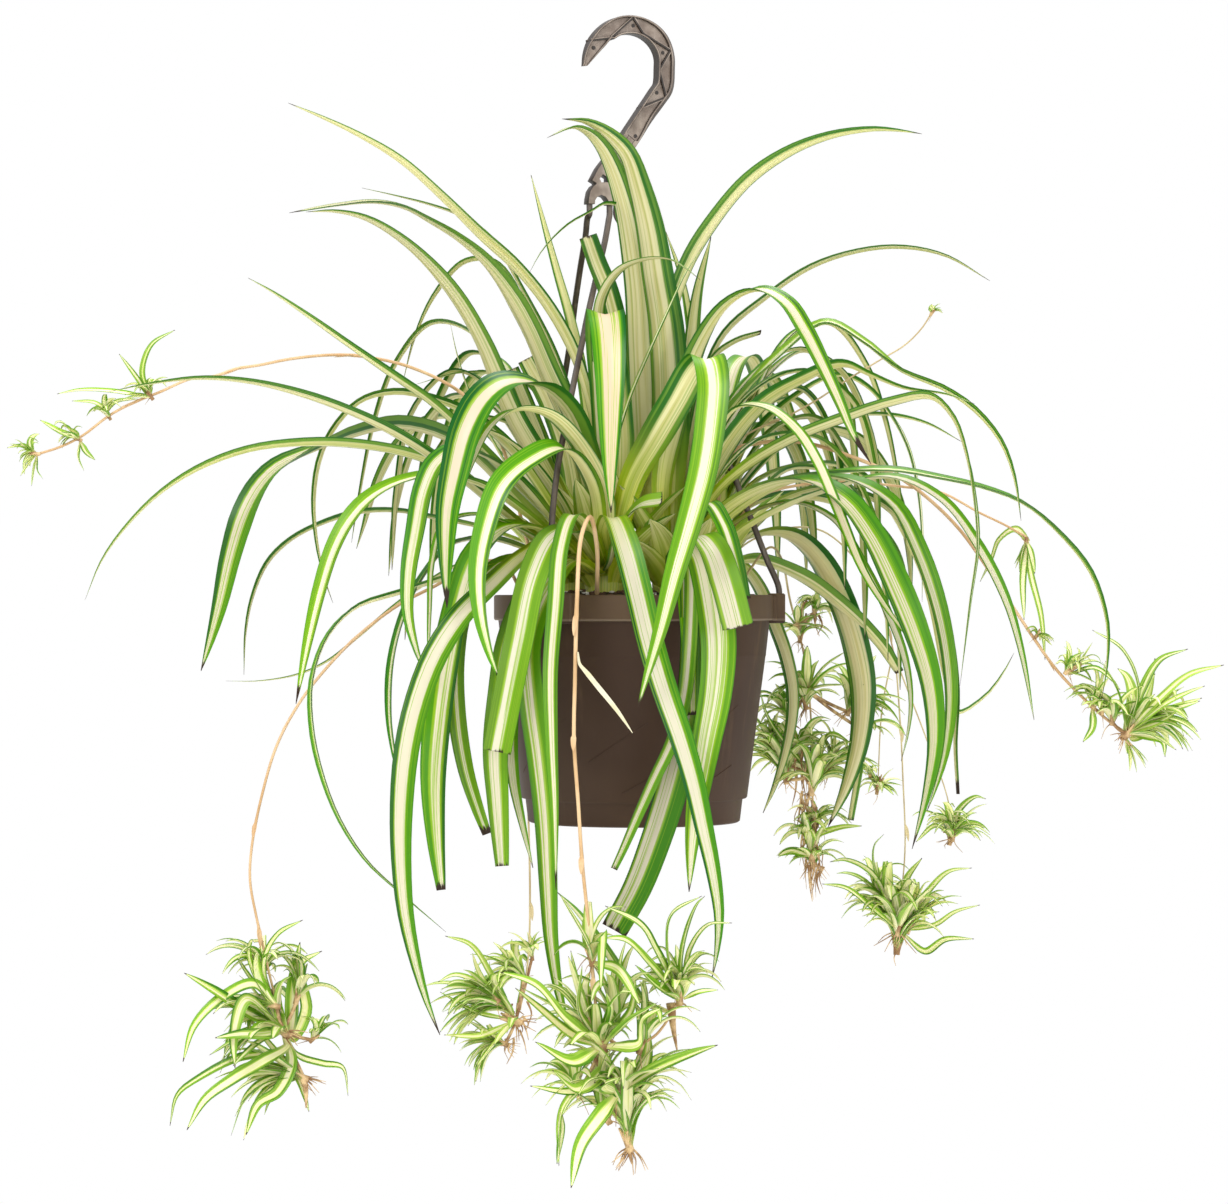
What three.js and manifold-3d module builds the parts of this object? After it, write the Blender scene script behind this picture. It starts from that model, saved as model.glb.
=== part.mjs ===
import * as THREE from "three";
import { mergeVertices } from "three/addons/utils/BufferGeometryUtils.js";
import Module from "manifold-3d";

const wasm = await Module();
wasm.setup();

// Driving sizes, in millimetres
const MM_PER_STEP = 0.625; // one step of the front-view grid, at the plane through the hook and the pot axis
const EYE_DISTANCE = 2200;
const EYE_COLUMN = 614;
const EYE_ROW = 602;
const EYE_X = -8.1;
const EYE_Z = -355;
const CLEARANCE = 0.35;
const POT_AXIS_X = 4.4;
const POT = {
  rimTop: -350.6,
  rimBottom: -366.3,
  bandTop: -476.9,
  base: -492,
  rimRadius: 87.5,
  bodyTopRadius: 84.7,
  bodyBottomRadius: 70.6,
  bandRadius: 67.8,
  baseRadius: 66.2,
  wall: 2.2,
  sides: 36,
};
const LUG = { reach: 94.2, inner: 84, halfWidth: 10, top: -349.4, bottom: -368.5, slotDepth: 9 };
const LUG_ANGLES = { strand_right: 0, strand_back: 120, strand_front: 240 };
const STRAND = { radius: 1.5, footRadius: 1.9, step: 30, seat: 90.4, sides: 6 };
const SOIL = { top: -353, crown: -347.5 };
const HOOK = { yaw: 27, band: 11.4, thickness: 8, flange: 1.5, pocketDepth: 2.2, rib: 1.2 };
const CROWN = { radius: 16, topRadius: 9, height: 40, plugRadius: 11, plugDepth: 22 };
const BLADE = { thickness: 1.7, channel: 0.34, waist: 0.38, bend: 4.6, narrow: 15, stride: 0.6 };
const RUNNER = { radius: 1.45, plug: 2.2, hole: 14, step: 27, sides: 5 };
const PLANTLET = { bend: 6, seat: 0.85, sink: 0.55, leaf: 3.2, growth: 0.1 };

// A point from its column, row and depth in the front view
function frontView([column, row, depth]) {
  const scale = (MM_PER_STEP * (EYE_DISTANCE + depth)) / EYE_DISTANCE;
  return new THREE.Vector3(EYE_X + (column - EYE_COLUMN) * scale, depth, EYE_Z - (row - EYE_ROW) * scale);
}

// Repeatable random draws
function seeded(seed) {
  let state = seed;
  return () => {
    state = (state * 1103515245 + 12345) % 2147483648;
    return state / 2147483648;
  };
}

// Solids
function solidFrom(positions, triangles) {
  const made = new wasm.Manifold(
    new wasm.Mesh({
      numProp: 3,
      vertProperties: new Float32Array(positions),
      triVerts: new Uint32Array(triangles),
    }),
  );
  if (made.volume() >= 0) return made;
  const turned = [];
  for (let i = 0; i < triangles.length; i += 3) turned.push(triangles[i], triangles[i + 2], triangles[i + 1]);
  return solidFrom(positions, turned);
}

function solidOf(geometry) {
  const bare = new THREE.BufferGeometry().setAttribute("position", geometry.getAttribute("position"));
  if (geometry.index) bare.setIndex(geometry.index);
  const merged = mergeVertices(bare, 1e-4);
  return solidFrom(Array.from(merged.attributes.position.array), Array.from(merged.index.array));
}

function join(solids) {
  return solids.reduce((whole, piece) => whole.add(piece));
}

function largestBody(solid) {
  return solid.decompose().reduce((kept, body) => (body.volume() > kept.volume() ? body : kept));
}

function toMesh(name, solid, colour) {
  const { vertProperties, triVerts } = solid.getMesh();
  const geometry = new THREE.BufferGeometry();
  geometry.setAttribute("position", new THREE.BufferAttribute(vertProperties, 3));
  geometry.setIndex(new THREE.BufferAttribute(triVerts, 1));
  geometry.computeVertexNormals();
  const mesh = new THREE.Mesh(geometry, new THREE.MeshStandardMaterial({ color: colour, roughness: 0.6 }));
  mesh.name = name;
  return mesh;
}

function turned(profile, sides, x = 0, y = 0) {
  const geometry = new THREE.LatheGeometry(
    profile.map(([radius, height]) => new THREE.Vector2(radius, height)),
    sides,
  );
  geometry.rotateX(Math.PI / 2);
  geometry.translate(x, y, 0);
  return solidOf(geometry);
}

function box(width, depth, height, x, y, z, angle = 0) {
  const geometry = new THREE.BoxGeometry(width, depth, height);
  geometry.translate(x, y, 0);
  geometry.rotateZ(THREE.MathUtils.degToRad(angle));
  geometry.translate(0, 0, z);
  return solidOf(geometry);
}

// A round stem along a curve through the given points
function stem(points, radius, step, sides = 6) {
  const ring = new THREE.Shape();
  for (let i = 0; i < sides; i++) {
    const angle = (i * 2 * Math.PI) / sides;
    const x = radius * Math.cos(angle);
    const y = radius * Math.sin(angle);
    if (i === 0) ring.moveTo(x, y);
    else ring.lineTo(x, y);
  }
  ring.closePath();
  const curve = new THREE.CatmullRomCurve3(points, false, "centripetal");
  const steps = Math.max(2, Math.round(curve.getLength() / step));
  return solidOf(
    new THREE.ExtrudeGeometry(ring, { steps, bevelEnabled: false, curveSegments: 1, extrudePath: curve }),
  );
}

// A course without the points that bend it by less than the given distance
function bendsOnly(points, distance) {
  const first = points[0];
  const last = points[points.length - 1];
  const line = new THREE.Line3(first, last);
  const foot = new THREE.Vector3();
  let widest = 0;
  let place = 0;
  for (let i = 1; i < points.length - 1; i++) {
    line.closestPointToPoint(points[i], true, foot);
    const off = foot.distanceTo(points[i]);
    if (off > widest) [widest, place] = [off, i];
  }
  if (widest < distance) return [first, last];
  const start = bendsOnly(points.slice(0, place + 1), distance);
  return start.concat(bendsOnly(points.slice(place), distance).slice(1));
}

// Blade: a channelled strap leaf
function bladeWidth(t, width, blunt) {
  const swell = BLADE.waist + (1 - BLADE.waist) * Math.min(1, t / 0.27);
  const taper = blunt ? 1 - (1 - blunt) * Math.pow(t, 4) : Math.pow(Math.max(0, 1 - Math.pow(t, 3.3)), 0.85);
  return width * swell * taper;
}

function rollAt(rolls, t) {
  const place = t * (rolls.length - 1);
  const index = Math.min(rolls.length - 2, Math.floor(place));
  if (rolls.length === 1) return rolls[0];
  return rolls[index] + (rolls[index + 1] - rolls[index]) * (place - index);
}

function blade(points, width, rolls = [0], blunt = false, heading = null, keeled = false) {
  const root = points[0];
  const tip = points[points.length - 1];
  const outward = new THREE.Vector3(tip.x - root.x, tip.y - root.y, 0);
  if (heading !== null) {
    const angle = THREE.MathUtils.degToRad(heading);
    outward.set(Math.cos(angle), Math.sin(angle), 0);
  }
  outward.normalize();
  const reference = new THREE.Vector3(outward.y, -outward.x, 0);
  const turn = reference.y > 0 ? -1 : 1;
  const lengths = [0];
  for (let i = 1; i < points.length; i++) lengths.push(lengths[i - 1] + points[i].distanceTo(points[i - 1]));
  const total = lengths[lengths.length - 1];
  const positions = [];
  const triangles = [];
  const last = points.length - 1;
  const sections = points.map((point, i) => {
    const t = lengths[i] / total;
    const ahead = points[Math.min(last, i + 1)].clone().sub(points[Math.max(0, i - 1)]).normalize();
    const side = reference.clone().addScaledVector(ahead, -reference.dot(ahead)).normalize();
    const face = side.clone().cross(ahead).normalize();
    const roll = THREE.MathUtils.degToRad(turn * rollAt(rolls, t));
    const across = side.clone().multiplyScalar(Math.cos(roll)).addScaledVector(face, Math.sin(roll));
    const up = across.clone().cross(ahead).normalize();
    return { point, ahead, across, up, half: bladeWidth(t, width, blunt) / 2 };
  });
  const edge = ({ point, across, up, half }, way) =>
    point.clone().addScaledVector(across, way * half).addScaledVector(up, half * BLADE.channel);
  const folds = (near, far) =>
    [-1, 1].some((way) => {
      const step = edge(far, way).sub(edge(near, way));
      return step.dot(near.ahead) < BLADE.stride || step.dot(far.ahead) < BLADE.stride;
    });
  // A sharp bend narrows the blade until its edges run on without folding back
  for (let round = 0; round < 12; round++) {
    for (let i = 1; i <= last; i++) {
      if (!folds(sections[i - 1], sections[i])) continue;
      sections[i - 1].half *= 0.9;
      sections[i].half *= 0.9;
    }
  }
  sections.forEach(({ point, across, up, half }, i) => {
    if (i === last && !blunt) {
      positions.push(point.x, point.y, point.z);
      return;
    }
    const thick = Math.min(BLADE.thickness, half * 0.6) / 2;
    const section = { point, across, up, half };
    const ring = [edge(section, -1), edge(section, 1), point.clone().addScaledVector(up, -thick)];
    if (!keeled) ring.splice(1, 0, point.clone().addScaledVector(up, thick));
    ring.forEach((corner) => positions.push(corner.x, corner.y, corner.z));
  });
  // The upper and lower faces are split alike, so that a twisted stretch keeps its thickness
  const sides = keeled ? 3 : 4;
  const rings = blunt ? last : last - 1;
  for (let i = 0; i < rings; i++) {
    for (let j = 0; j < sides; j++) {
      const a = sides * i + j;
      const b = sides * i + ((j + 1) % sides);
      if (j < sides - 2) triangles.push(a, b + sides, b, a, a + sides, b + sides);
      else triangles.push(a, a + sides, b, b, a + sides, b + sides);
    }
  }
  const end = sides * rings;
  const caps = keeled ? [[0, 1, 2]] : [[0, 1, 3], [1, 2, 3]];
  caps.forEach(([a, b, c]) => {
    triangles.push(a, b, c);
    if (blunt) triangles.push(end + a, end + c, end + b);
  });
  if (!blunt) {
    for (let j = 0; j < sides; j++) triangles.push(end + j, end + sides, end + ((j + 1) % sides));
  }
  return solidFrom(positions, triangles);
}

// Crowns of the mother plant: centre in the front view
const CROWNS = {
  a: [605, 588, -28],
  b: [672, 588, -24],
  c: [570, 588, 36],
  d: [700, 588, 36],
};

// Leaves: crown, width, rolls along the leaf, front-view points, then the share of the width left at a
// blunt end and the heading where needed
const LEAVES = {
  a01: ["a", 19, [25, 30, 20], [[600, 545, -28], [594, 440, -26], [575, 365, -22], [548, 312, -18],
    [515, 270, -14], [478, 236, -10], [440, 198, -6], [400, 162, -2], [360, 137, 0], [322, 118, 2],
    [288, 103, 4]]],
  a02: ["a", 22, [40, 45, 40, 0, -30], [[597, 560, -32], [583, 480, -34], [566, 420, -36], [546, 375, -38],
    [527, 330, -40], [508, 296, -40], [484, 264, -38], [458, 241, -34], [430, 223, -28], [405, 209, -24],
    [375, 203, -20], [335, 206, -16], [289, 213, -12]]],
  a04: ["a", 22, [35, 40, 30, 10], [[592, 560, -30], [565, 510, -34], [535, 460, -36], [512, 420, -36],
    [497, 386, -36], [480, 345, -36], [458, 305, -34], [430, 269, -32], [400, 241, -30], [366, 220, -28],
    [335, 212, -26], [306, 212, -24]]],
  a05: ["a", 13, [20], [[590, 565, -34], [550, 520, -42], [510, 480, -50], [470, 440, -58], [430, 403, -64],
    [400, 382, -68], [350, 347, -72], [300, 311, -76], [272, 292, -78], [248, 278, -80]]],
  a06: ["a", 13, [20, 25, 10], [[588, 570, -36], [545, 545, -48], [505, 515, -60], [466, 483, -70],
    [430, 457, -78], [390, 432, -84], [345, 411, -90], [300, 395, -94], [250, 383, -98], [200, 379, -102],
    [150, 384, -104], [108, 392, -106]]],
  a07: ["a", 14, [20, 25, 20, 0], [[586, 572, -30], [545, 550, -40], [500, 512, -48], [455, 474, -54],
    [405, 455, -58], [350, 446, -62], [300, 445, -64], [250, 451, -66], [200, 469, -68], [160, 494, -70],
    [127, 526, -72], [102, 560, -74], [85, 600, -76]]],
  a08: ["a", 28, [30, 20, 10, -60, -75], [[590, 572, -26], [550, 540, -26], [505, 490, -24], [455, 445, -22],
    [400, 428, -20], [350, 438, -20], [310, 453, -20], [280, 468, -22], [262, 486, -24], [246, 515, -28],
    [233, 555, -30], [221, 605, -30], [211, 640, -30], [201, 671, -30]]],
  a10: ["a", 15, [40, 40, 20, 5, 10, 10], [[592, 568, -22], [560, 520, -18], [520, 462, -14], [472, 418, -12],
    [430, 400, -10], [395, 394, -10], [362, 402, -12], [336, 428, -14], [321, 460, -16], [315, 500, -18],
    [318, 545, -20], [325, 578, -22], [333, 603, -24]]],
  a12: ["a", 17, [10, 0, -30, -50], [[588, 572, -40], [560, 545, -54], [520, 512, -68], [480, 486, -80],
    [440, 476, -88], [400, 483, -96], [370, 499, -100], [349, 522, -104], [334, 550, -106], [321, 590, -108],
    [311, 630, -108], [303, 668, -108], [296, 704, -108]]],
  a14: ["a", 11, [20, 20, 0, 0], [[586, 576, -36], [545, 566, -46], [500, 567, -56], [450, 578, -62],
    [400, 594, -66], [355, 609, -70], [328, 637, -72], [313, 680, -74], [313, 725, -74], [322, 770, -74],
    [340, 818, -74], [367, 860, -74], [398, 890, -74], [446, 932, -74]]],
  a15: ["a", 26, [0, 0, -20, -40, -45], [[598, 560, -42], [585, 470, -62], [566, 412, -78], [540, 387, -84],
    [508, 384, -96], [485, 399, -106], [467, 430, -114], [456, 470, -118], [448, 510, -120], [446, 560, -120],
    [447, 608, -120]]],
  a16: ["a", 9, [0, -20], [[594, 565, -36], [560, 500, -56], [520, 450, -72], [480, 430, -84],
    [458, 450, -92], [446, 490, -96], [437, 545, -98]]],
  a17: ["a", 16, [0, -10, -40, -45], [[590, 572, -44], [550, 520, -62], [505, 470, -78], [462, 450, -90],
    [438, 462, -98], [424, 490, -104], [416, 530, -108], [409, 572, -110], [408, 612, -110], [415, 645, -110],
    [426, 677, -110]]],
  a18: ["a", 7, [0, -30], [[588, 574, -38], [540, 540, -56], [480, 515, -72], [445, 525, -82],
    [433, 560, -88],
    [430, 610, -90], [428, 672, -90]]],
  a19: ["a", 14, [10, 0, -30], [[586, 577, -30], [540, 556, -40], [490, 540, -50], [452, 545, -56],
    [425, 575, -60], [406, 612, -62], [393, 660, -64], [390, 712, -64], [394, 750, -64], [402, 790, -64]]],
  a20: ["a", 18, [0, -20, -40, -40], [[594, 572, -50], [562, 540, -54], [528, 555, -72], [492, 588, -92],
    [462, 618, -114], [436, 658, -120], [418, 705, -122], [407, 755, -124], [402, 810, -124],
    [402, 862, -124],
    [406, 912, -124], [416, 962, -122], [428, 1004, -120], [440, 1035, -118]]],
  a22: ["a", 17, [0, -20, -40, -40], [[600, 560, -50], [590, 486, -72], [562, 449, -92], [526, 462, -108],
    [500, 486, -118], [485, 525, -124], [477, 570, -128], [479, 612, -130], [488, 650, -132],
    [501, 684, -132]]],
  a23: ["a", 22, [0, -20, -45], [[590, 574, -44], [550, 535, -60], [510, 528, -72], [478, 556, -82],
    [460, 606, -88], [448, 660, -92], [439, 720, -94], [434, 780, -94], [436, 840, -94],
    [441, 890, -94]], 0.25],
  a24: ["a", 14, [0, 0, 30], [[590, 578, -36], [545, 558, -50], [500, 565, -62], [470, 604, -70],
    [458, 655, -74], [458, 712, -76], [466, 768, -76], [477, 806, -76], [487, 834, -76]], 0.4],
  a25: ["a", 18, [0, -20, -40], [[596, 576, -40], [565, 556, -56], [532, 594, -80], [512, 640, -100],
    [503, 690, -114], [496, 750, -116], [498, 800, -116], [502, 866, -116]], 0.45],
  a26: ["a", 16, [0, -20, -20], [[598, 574, -60], [572, 562, -90], [543, 598, -112], [528, 645, -122],
    [531, 700, -126], [539, 760, -126], [545, 820, -126], [548, 885, -124], [551, 940, -120],
    [560, 998, -112],
    [574, 1045, -104]]],
  a27: ["a", 11, [0, 0, 0], [[602, 560, -50], [592, 536, -80], [573, 516, -102], [561, 548, -120],
    [556, 605, -130], [551, 672, -134], [552, 740, -136], [555, 812, -136], [556, 890, -136]]],
  a29: ["a", 12, [0, -30], [[596, 576, -40], [562, 552, -56], [540, 562, -72], [524, 612, -92],
    [516, 665, -98],
    [511, 725, -106], [514, 780, -106], [523, 826, -106], [533, 868, -106]]],
  a31: ["a", 18, [0, -20, -20], [[594, 560, -56], [574, 533, -86], [552, 540, -108], [533, 580, -122],
    [520, 640, -132], [509, 695, -134], [498, 752, -134]], 0.95],
  a32: ["a", 26, [0], [[606, 560, -30], [614, 470, -40], [611, 400, -52], [605, 340, -66], [605, 315, -78],
    [608, 332, -92], [610, 372, -102], [610, 420, -106], [610, 465, -106], [611, 513, -102]], false, -90],
  a33: ["a", 14, [0], [[612, 540, -24], [625, 440, -14], [622, 355, -20], [608, 290, -32], [597, 262, -33],
    [588, 236, -34]], 0.8, -90],
  a36: ["a", 11, [0, 40, 20, 0], [[608, 560, -34], [606, 470, -44], [601, 390, -54], [599, 335, -60],
    [603, 297, -64], [620, 271, -68], [645, 260, -72], [668, 259, -74], [685, 268, -76], [700, 280, -78]]],
  a39: ["a", 7, [-40, -40, -40], [[608, 540, -44], [616, 450, -54], [630, 400, -58], [650, 352, -60],
    [668, 312, -60], [685, 275, -60], [702, 247, -60]]],
  a65: ["a", 17, [0, -10], [[610, 560, -44], [606, 530, -80], [614, 519, -98], [626, 548, -112],
    [638, 592, -120], [650, 642, -124], [665, 692, -126], [681, 738, -128], [694, 782, -128],
    [704, 828, -128],
    [713, 870, -128], [719, 915, -128], [717, 950, -128], [712, 978, -128]], false, -80],
  a69: ["a", 13, [-55], [[612, 560, -60], [620, 530, -82], [640, 506, -92], [662, 501, -98]], 0.9],
  a81: ["a", 14, [20, 20, 10, -30], [[606, 560, -50], [602, 495, -66], [578, 446, -80], [548, 416, -92],
    [515, 411, -100], [490, 428, -108], [473, 460, -112], [460, 497, -114]]],
  b34: ["b", 25, [10], [[668, 540, -22], [668, 470, -24], [668, 400, -28], [664, 330, -34], [656, 280, -40],
    [648, 230, -46], [638, 190, -52], [627, 158, -58], [610, 138, -62], [588, 124, -66],
    [562, 119, -68]], false, -120],
  b35: ["b", 11, [30, 30, 10, 0], [[664, 540, -18], [660, 440, -26], [656, 350, -34], [653, 285, -42],
    [643, 236, -48], [623, 209, -52], [605, 204, -54], [590, 212, -54], [570, 223, -54], [552, 239, -54],
    [540, 254, -54], [530, 272, -54]]],
  b37: ["b", 23, [10], [[652, 520, -22], [645, 420, -26], [641, 340, -34], [638, 290, -42], [632, 245, -50],
    [624, 205, -58], [613, 170, -65], [602, 148, -69], [589, 134, -72], [573, 128, -75], [547, 138, -77]],
    false, -120],
  b39: ["b", 18, [20, 30, 30, 15], [[672, 540, -20], [667, 460, -18], [664, 385, -17], [672, 320, -16],
    [690, 265, -13], [715, 223, -8], [750, 181, 0], [790, 153, 2], [830, 137, 4], [872, 130, 6], [900, 131, 8],
    [922, 134, 10]]],
  b41: ["b", 19, [30, 30, 0, -30, -40], [[668, 560, -30], [664, 480, -38], [682, 405, -48], [702, 345, -58],
    [728, 306, -68], [757, 291, -76], [784, 303, -84], [803, 330, -90], [822, 366, -94], [838, 400, -96],
    [853, 435, -98], [871, 464, -100]]],
  b43: ["a", 21, [0], [[615, 548, -44], [632, 482, -64], [655, 440, -80], [677, 402, -94], [695, 370, -108],
    [707, 360, -122], [713, 382, -134], [710, 425, -140], [703, 470, -142], [690, 520, -142],
    [674, 575, -142],
    [660, 630, -142], [647, 675, -140], [638, 707, -138]], false, -90],
  b44: ["b", 15, [30, 30, 20], [[676, 560, -12], [690, 450, -12], [700, 395, -12], [713, 360, -10], [735, 343, -6],
    [760, 334, 2]], 0.5],
  b45: ["b", 12, [30, 30, 10], [[676, 562, -10], [684, 470, 6], [700, 395, 16], [724, 337, 22],
    [765, 300, 28],
    [810, 269, 32], [855, 253, 34], [900, 248, 36], [945, 256, 38], [990, 281, 40]]],
  b46: ["b", 17, [30, 20, -20, -10, 20, 20], [[678, 566, -20], [700, 460, -22], [740, 398, -26],
    [785, 352, -30], [825, 324, -34], [862, 342, -38], [900, 371, -40], [945, 391, -42], [975, 412, -44],
    [1000, 442, -46], [1014, 478, -48], [1021, 521, -50]]],
  b47: ["b", 16, [30, 40, 20, -10], [[680, 568, -26], [715, 470, -34], [760, 408, -42], [800, 382, -48],
    [842, 366, -54], [870, 376, -58], [905, 389, -62], [945, 394, -66], [975, 404, -68]]],
  b48: ["b", 11, [30, 35, 30, 0, 10], [[684, 570, -28], [712, 500, -40], [745, 468, -50], [790, 441, -58],
    [840, 421, -64], [890, 404, -70], [930, 398, -74], [952, 418, -78], [966, 455, -80], [974, 500, -82],
    [977, 545, -82], [970, 600, -82], [960, 686, -82]]],
  b51: ["b", 11, [0, -10, -30, -40], [[676, 566, -34], [706, 470, -56], [735, 410, -72], [765, 408, -84],
    [795, 430, -92], [816, 462, -98], [832, 498, -102], [845, 530, -104], [862, 570, -106], [885, 607, -106],
    [918, 650, -106]]],
  b52: ["b", 21, [20, 10, -20, -45, -40, -20], [[680, 572, -38], [712, 525, -58], [760, 492, -74],
    [806, 482, -88], [842, 500, -98], [870, 535, -104], [893, 580, -108], [914, 630, -110], [930, 685, -110],
    [934, 740, -110], [926, 792, -108], [912, 849, -106]]],
  b53: ["b", 17, [20, 10, -30, -45, -45], [[684, 574, -30], [735, 515, -42], [795, 482, -52], [850, 481, -60],
    [892, 505, -66], [917, 550, -70], [935, 600, -72], [946, 650, -72], [950, 700, -72], [945, 750, -70],
    [936, 785, -68], [927, 811, -66]]],
  b54: ["b", 14, [20, 10, -15, -10, 15, 15], [[684, 576, -20], [730, 510, -22], [780, 482, -24],
    [830, 474, -26], [890, 471, -28], [940, 479, -30], [985, 489, -30], [1025, 505, -30], [1060, 535, -30],
    [1090, 573, -30], [1106, 620, -30], [1107, 660, -30], [1102, 697, -30]]],
  b55: ["b", 14, [20, 10, -20, -40, -40], [[686, 577, -26], [745, 530, -34], [820, 494, -42],
    [890, 478, -48], [940, 500, -52], [976, 545, -54], [1004, 598, -56], [1020, 650, -56], [1034, 720, -56]]],
  b61: ["b", 11, [20, 0, -30, -40, -30], [[682, 574, -22], [728, 528, -28], [785, 503, -34],
    [832, 520, -38], [862, 566, -40], [886, 612, -42], [903, 656, -42], [910, 700, -42], [907, 735, -42],
    [901, 761, -42]]],
  b66: ["b", 23, [0], [[680, 566, -60], [692, 545, -86], [704, 560, -100], [713, 600, -106], [718, 645, -108],
    [715, 692, -110], [706, 742, -110], [698, 792, -110], [692, 840, -110], [689, 892, -110]], false, -85],
  b67: ["b", 20, [0], [[682, 562, -66], [697, 537, -94], [713, 552, -112], [726, 587, -122],
    [737, 628, -126]],
    0.95, -80],
  b68: ["b", 13, [0], [[684, 560, -50], [706, 504, -72], [722, 524, -86], [734, 560, -92], [743, 600, -96]],
    0.7, -70],
  b70: ["b", 12, [0], [[674, 575, -60], [684, 585, -84], [689, 620, -98], [691, 665, -100], [692, 715, -100]],
    0.6, -90],
  b71: ["b", 9, [0], [[680, 572, -70], [690, 560, -92], [690, 640, -102], [684, 700, -103], [672, 742, -103],
    [655, 778, -103], [637, 818, -103], [623, 850, -103], [614, 869, -103]], 0.45, -90],
  b72: ["b", 20, [0], [[684, 570, -66], [694, 558, -88], [697, 620, -96], [694, 690, -98], [684, 742, -98],
    [671, 792, -98], [655, 842, -98], [637, 888, -98], [614, 930, -98]], 0.8, -90],
  c03: ["c", 7, [20], [[575, 550, 34], [580, 440, 30], [556, 358, 26], [520, 287, 22], [492, 240, 20],
    [462, 217, 18], [430, 205, 18], [396, 196, 18], [362, 188, 18]]],
  c11: ["c", 9, [20, 20, 10], [[565, 560, 40], [530, 545, 50], [480, 528, 58], [430, 518, 64], [400, 512, 68],
    [360, 513, 72], [320, 525, 76], [290, 541, 78], [268, 563, 80], [253, 597, 82], [246, 632, 82],
    [244, 675, 82]]],
  c13: ["c", 6, [10], [[560, 575, 44], [520, 568, 56], [470, 562, 66], [410, 595, 72], [360, 636, 76],
    [330, 660, 78], [300, 674, 80], [260, 681, 80], [226, 681, 80]]],
  c37: ["c", 8, [0], [[575, 560, 34], [590, 470, 26], [583, 380, 18], [570, 318, 14], [557, 272, 10],
    [545, 228, 6], [531, 175, 2]], false, -90],
  c75: ["c", 9, [20, 30, 20], [[575, 540, 38], [560, 430, 42], [528, 318, 46], [496, 264, 48], [466, 262, 50],
    [436, 294, 52], [416, 335, 54], [403, 382, 54]]],
  c76: ["c", 6, [20], [[562, 560, 42], [535, 510, 46], [500, 455, 48], [472, 400, 50], [457, 355, 52],
    [450, 322, 52]]],
  c77: ["c", 6, [10], [[566, 550, 42], [552, 430, 38], [530, 388, 40], [500, 374, 44], [460, 373, 48],
    [414, 385, 52]]],
  c78: ["c", 11, [0], [[570, 545, 40], [548, 460, 40], [527, 405, 38], [512, 369, 34]], 0.8, -90],
  c79: ["c", 14, [0], [[574, 540, 34], [570, 470, 34], [552, 410, 32], [526, 359, 30]], 0.8, -90],
  d38: ["d", 8, [0], [[695, 560, 32], [700, 440, 26], [692, 340, 20], [682, 280, 16], [666, 232, 12]],
    false, -90],
  d40: ["d", 13, [0], [[690, 560, 30], [683, 470, 24], [688, 400, 18], [692, 340, 14], [698, 290, 10],
    [711, 237, 6]], false, -90],
  d49: ["d", 9, [20], [[705, 560, 44], [750, 480, 52], [800, 435, 58], [845, 418, 62], [885, 415, 66],
    [925, 423, 68], [962, 442, 70]]],
  d50: ["d", 12, [30, 30, -20, -30], [[706, 556, 40], [745, 450, 46], [795, 398, 50], [838, 376, 54],
    [866, 387, 58], [890, 415, 60], [908, 450, 62], [918, 495, 64], [922, 545, 64], [922, 602, 64]]],
  d57: ["d", 25, [0, 10, 30, 30], [[708, 570, 50], [735, 545, 62], [765, 535, 70], [792, 540, 76],
    [815, 560, 80], [838, 602, 84], [853, 646, 86], [861, 692, 86], [858, 740, 86], [846, 785, 86],
    [828, 827, 86]]],
  d58: ["d", 8, [20], [[710, 574, 44], [760, 560, 70], [810, 580, 88], [845, 625, 96], [864, 690, 98],
    [861, 750, 98], [850, 820, 98]], 0.6],
  d59: ["d", 18, [20], [[706, 576, 48], [750, 562, 64], [800, 578, 74], [845, 611, 80], [880, 646, 84],
    [898, 673, 86]], 0.5],
  d63: ["d", 13, [20, 0], [[708, 570, 36], [750, 520, 40], [820, 490, 44], [880, 505, 48], [925, 560, 50],
    [947, 630, 52], [955, 690, 52], [954, 745, 52], [957, 794, 52]], 0.5],
  d87: ["d", 11, [0, 20, 40], [[712, 572, 46], [735, 562, 67], [757, 586, 84], [774, 625, 86], [785, 655, 84],
    [792, 690, 82], [791, 722, 82], [783, 760, 84], [773, 790, 86], [763, 813, 86]]],
  d82: ["d", 16, [20, 20], [[706, 570, 42], [750, 508, 54], [800, 498, 62], [850, 510, 70], [890, 545, 76],
    [912, 600, 80]]],
  d83: ["d", 15, [20, 20], [[702, 565, 48], [735, 495, 66], [775, 450, 80], [815, 432, 90], [855, 440, 98],
    [885, 475, 104], [905, 530, 108], [912, 600, 110]]],
};

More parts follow.
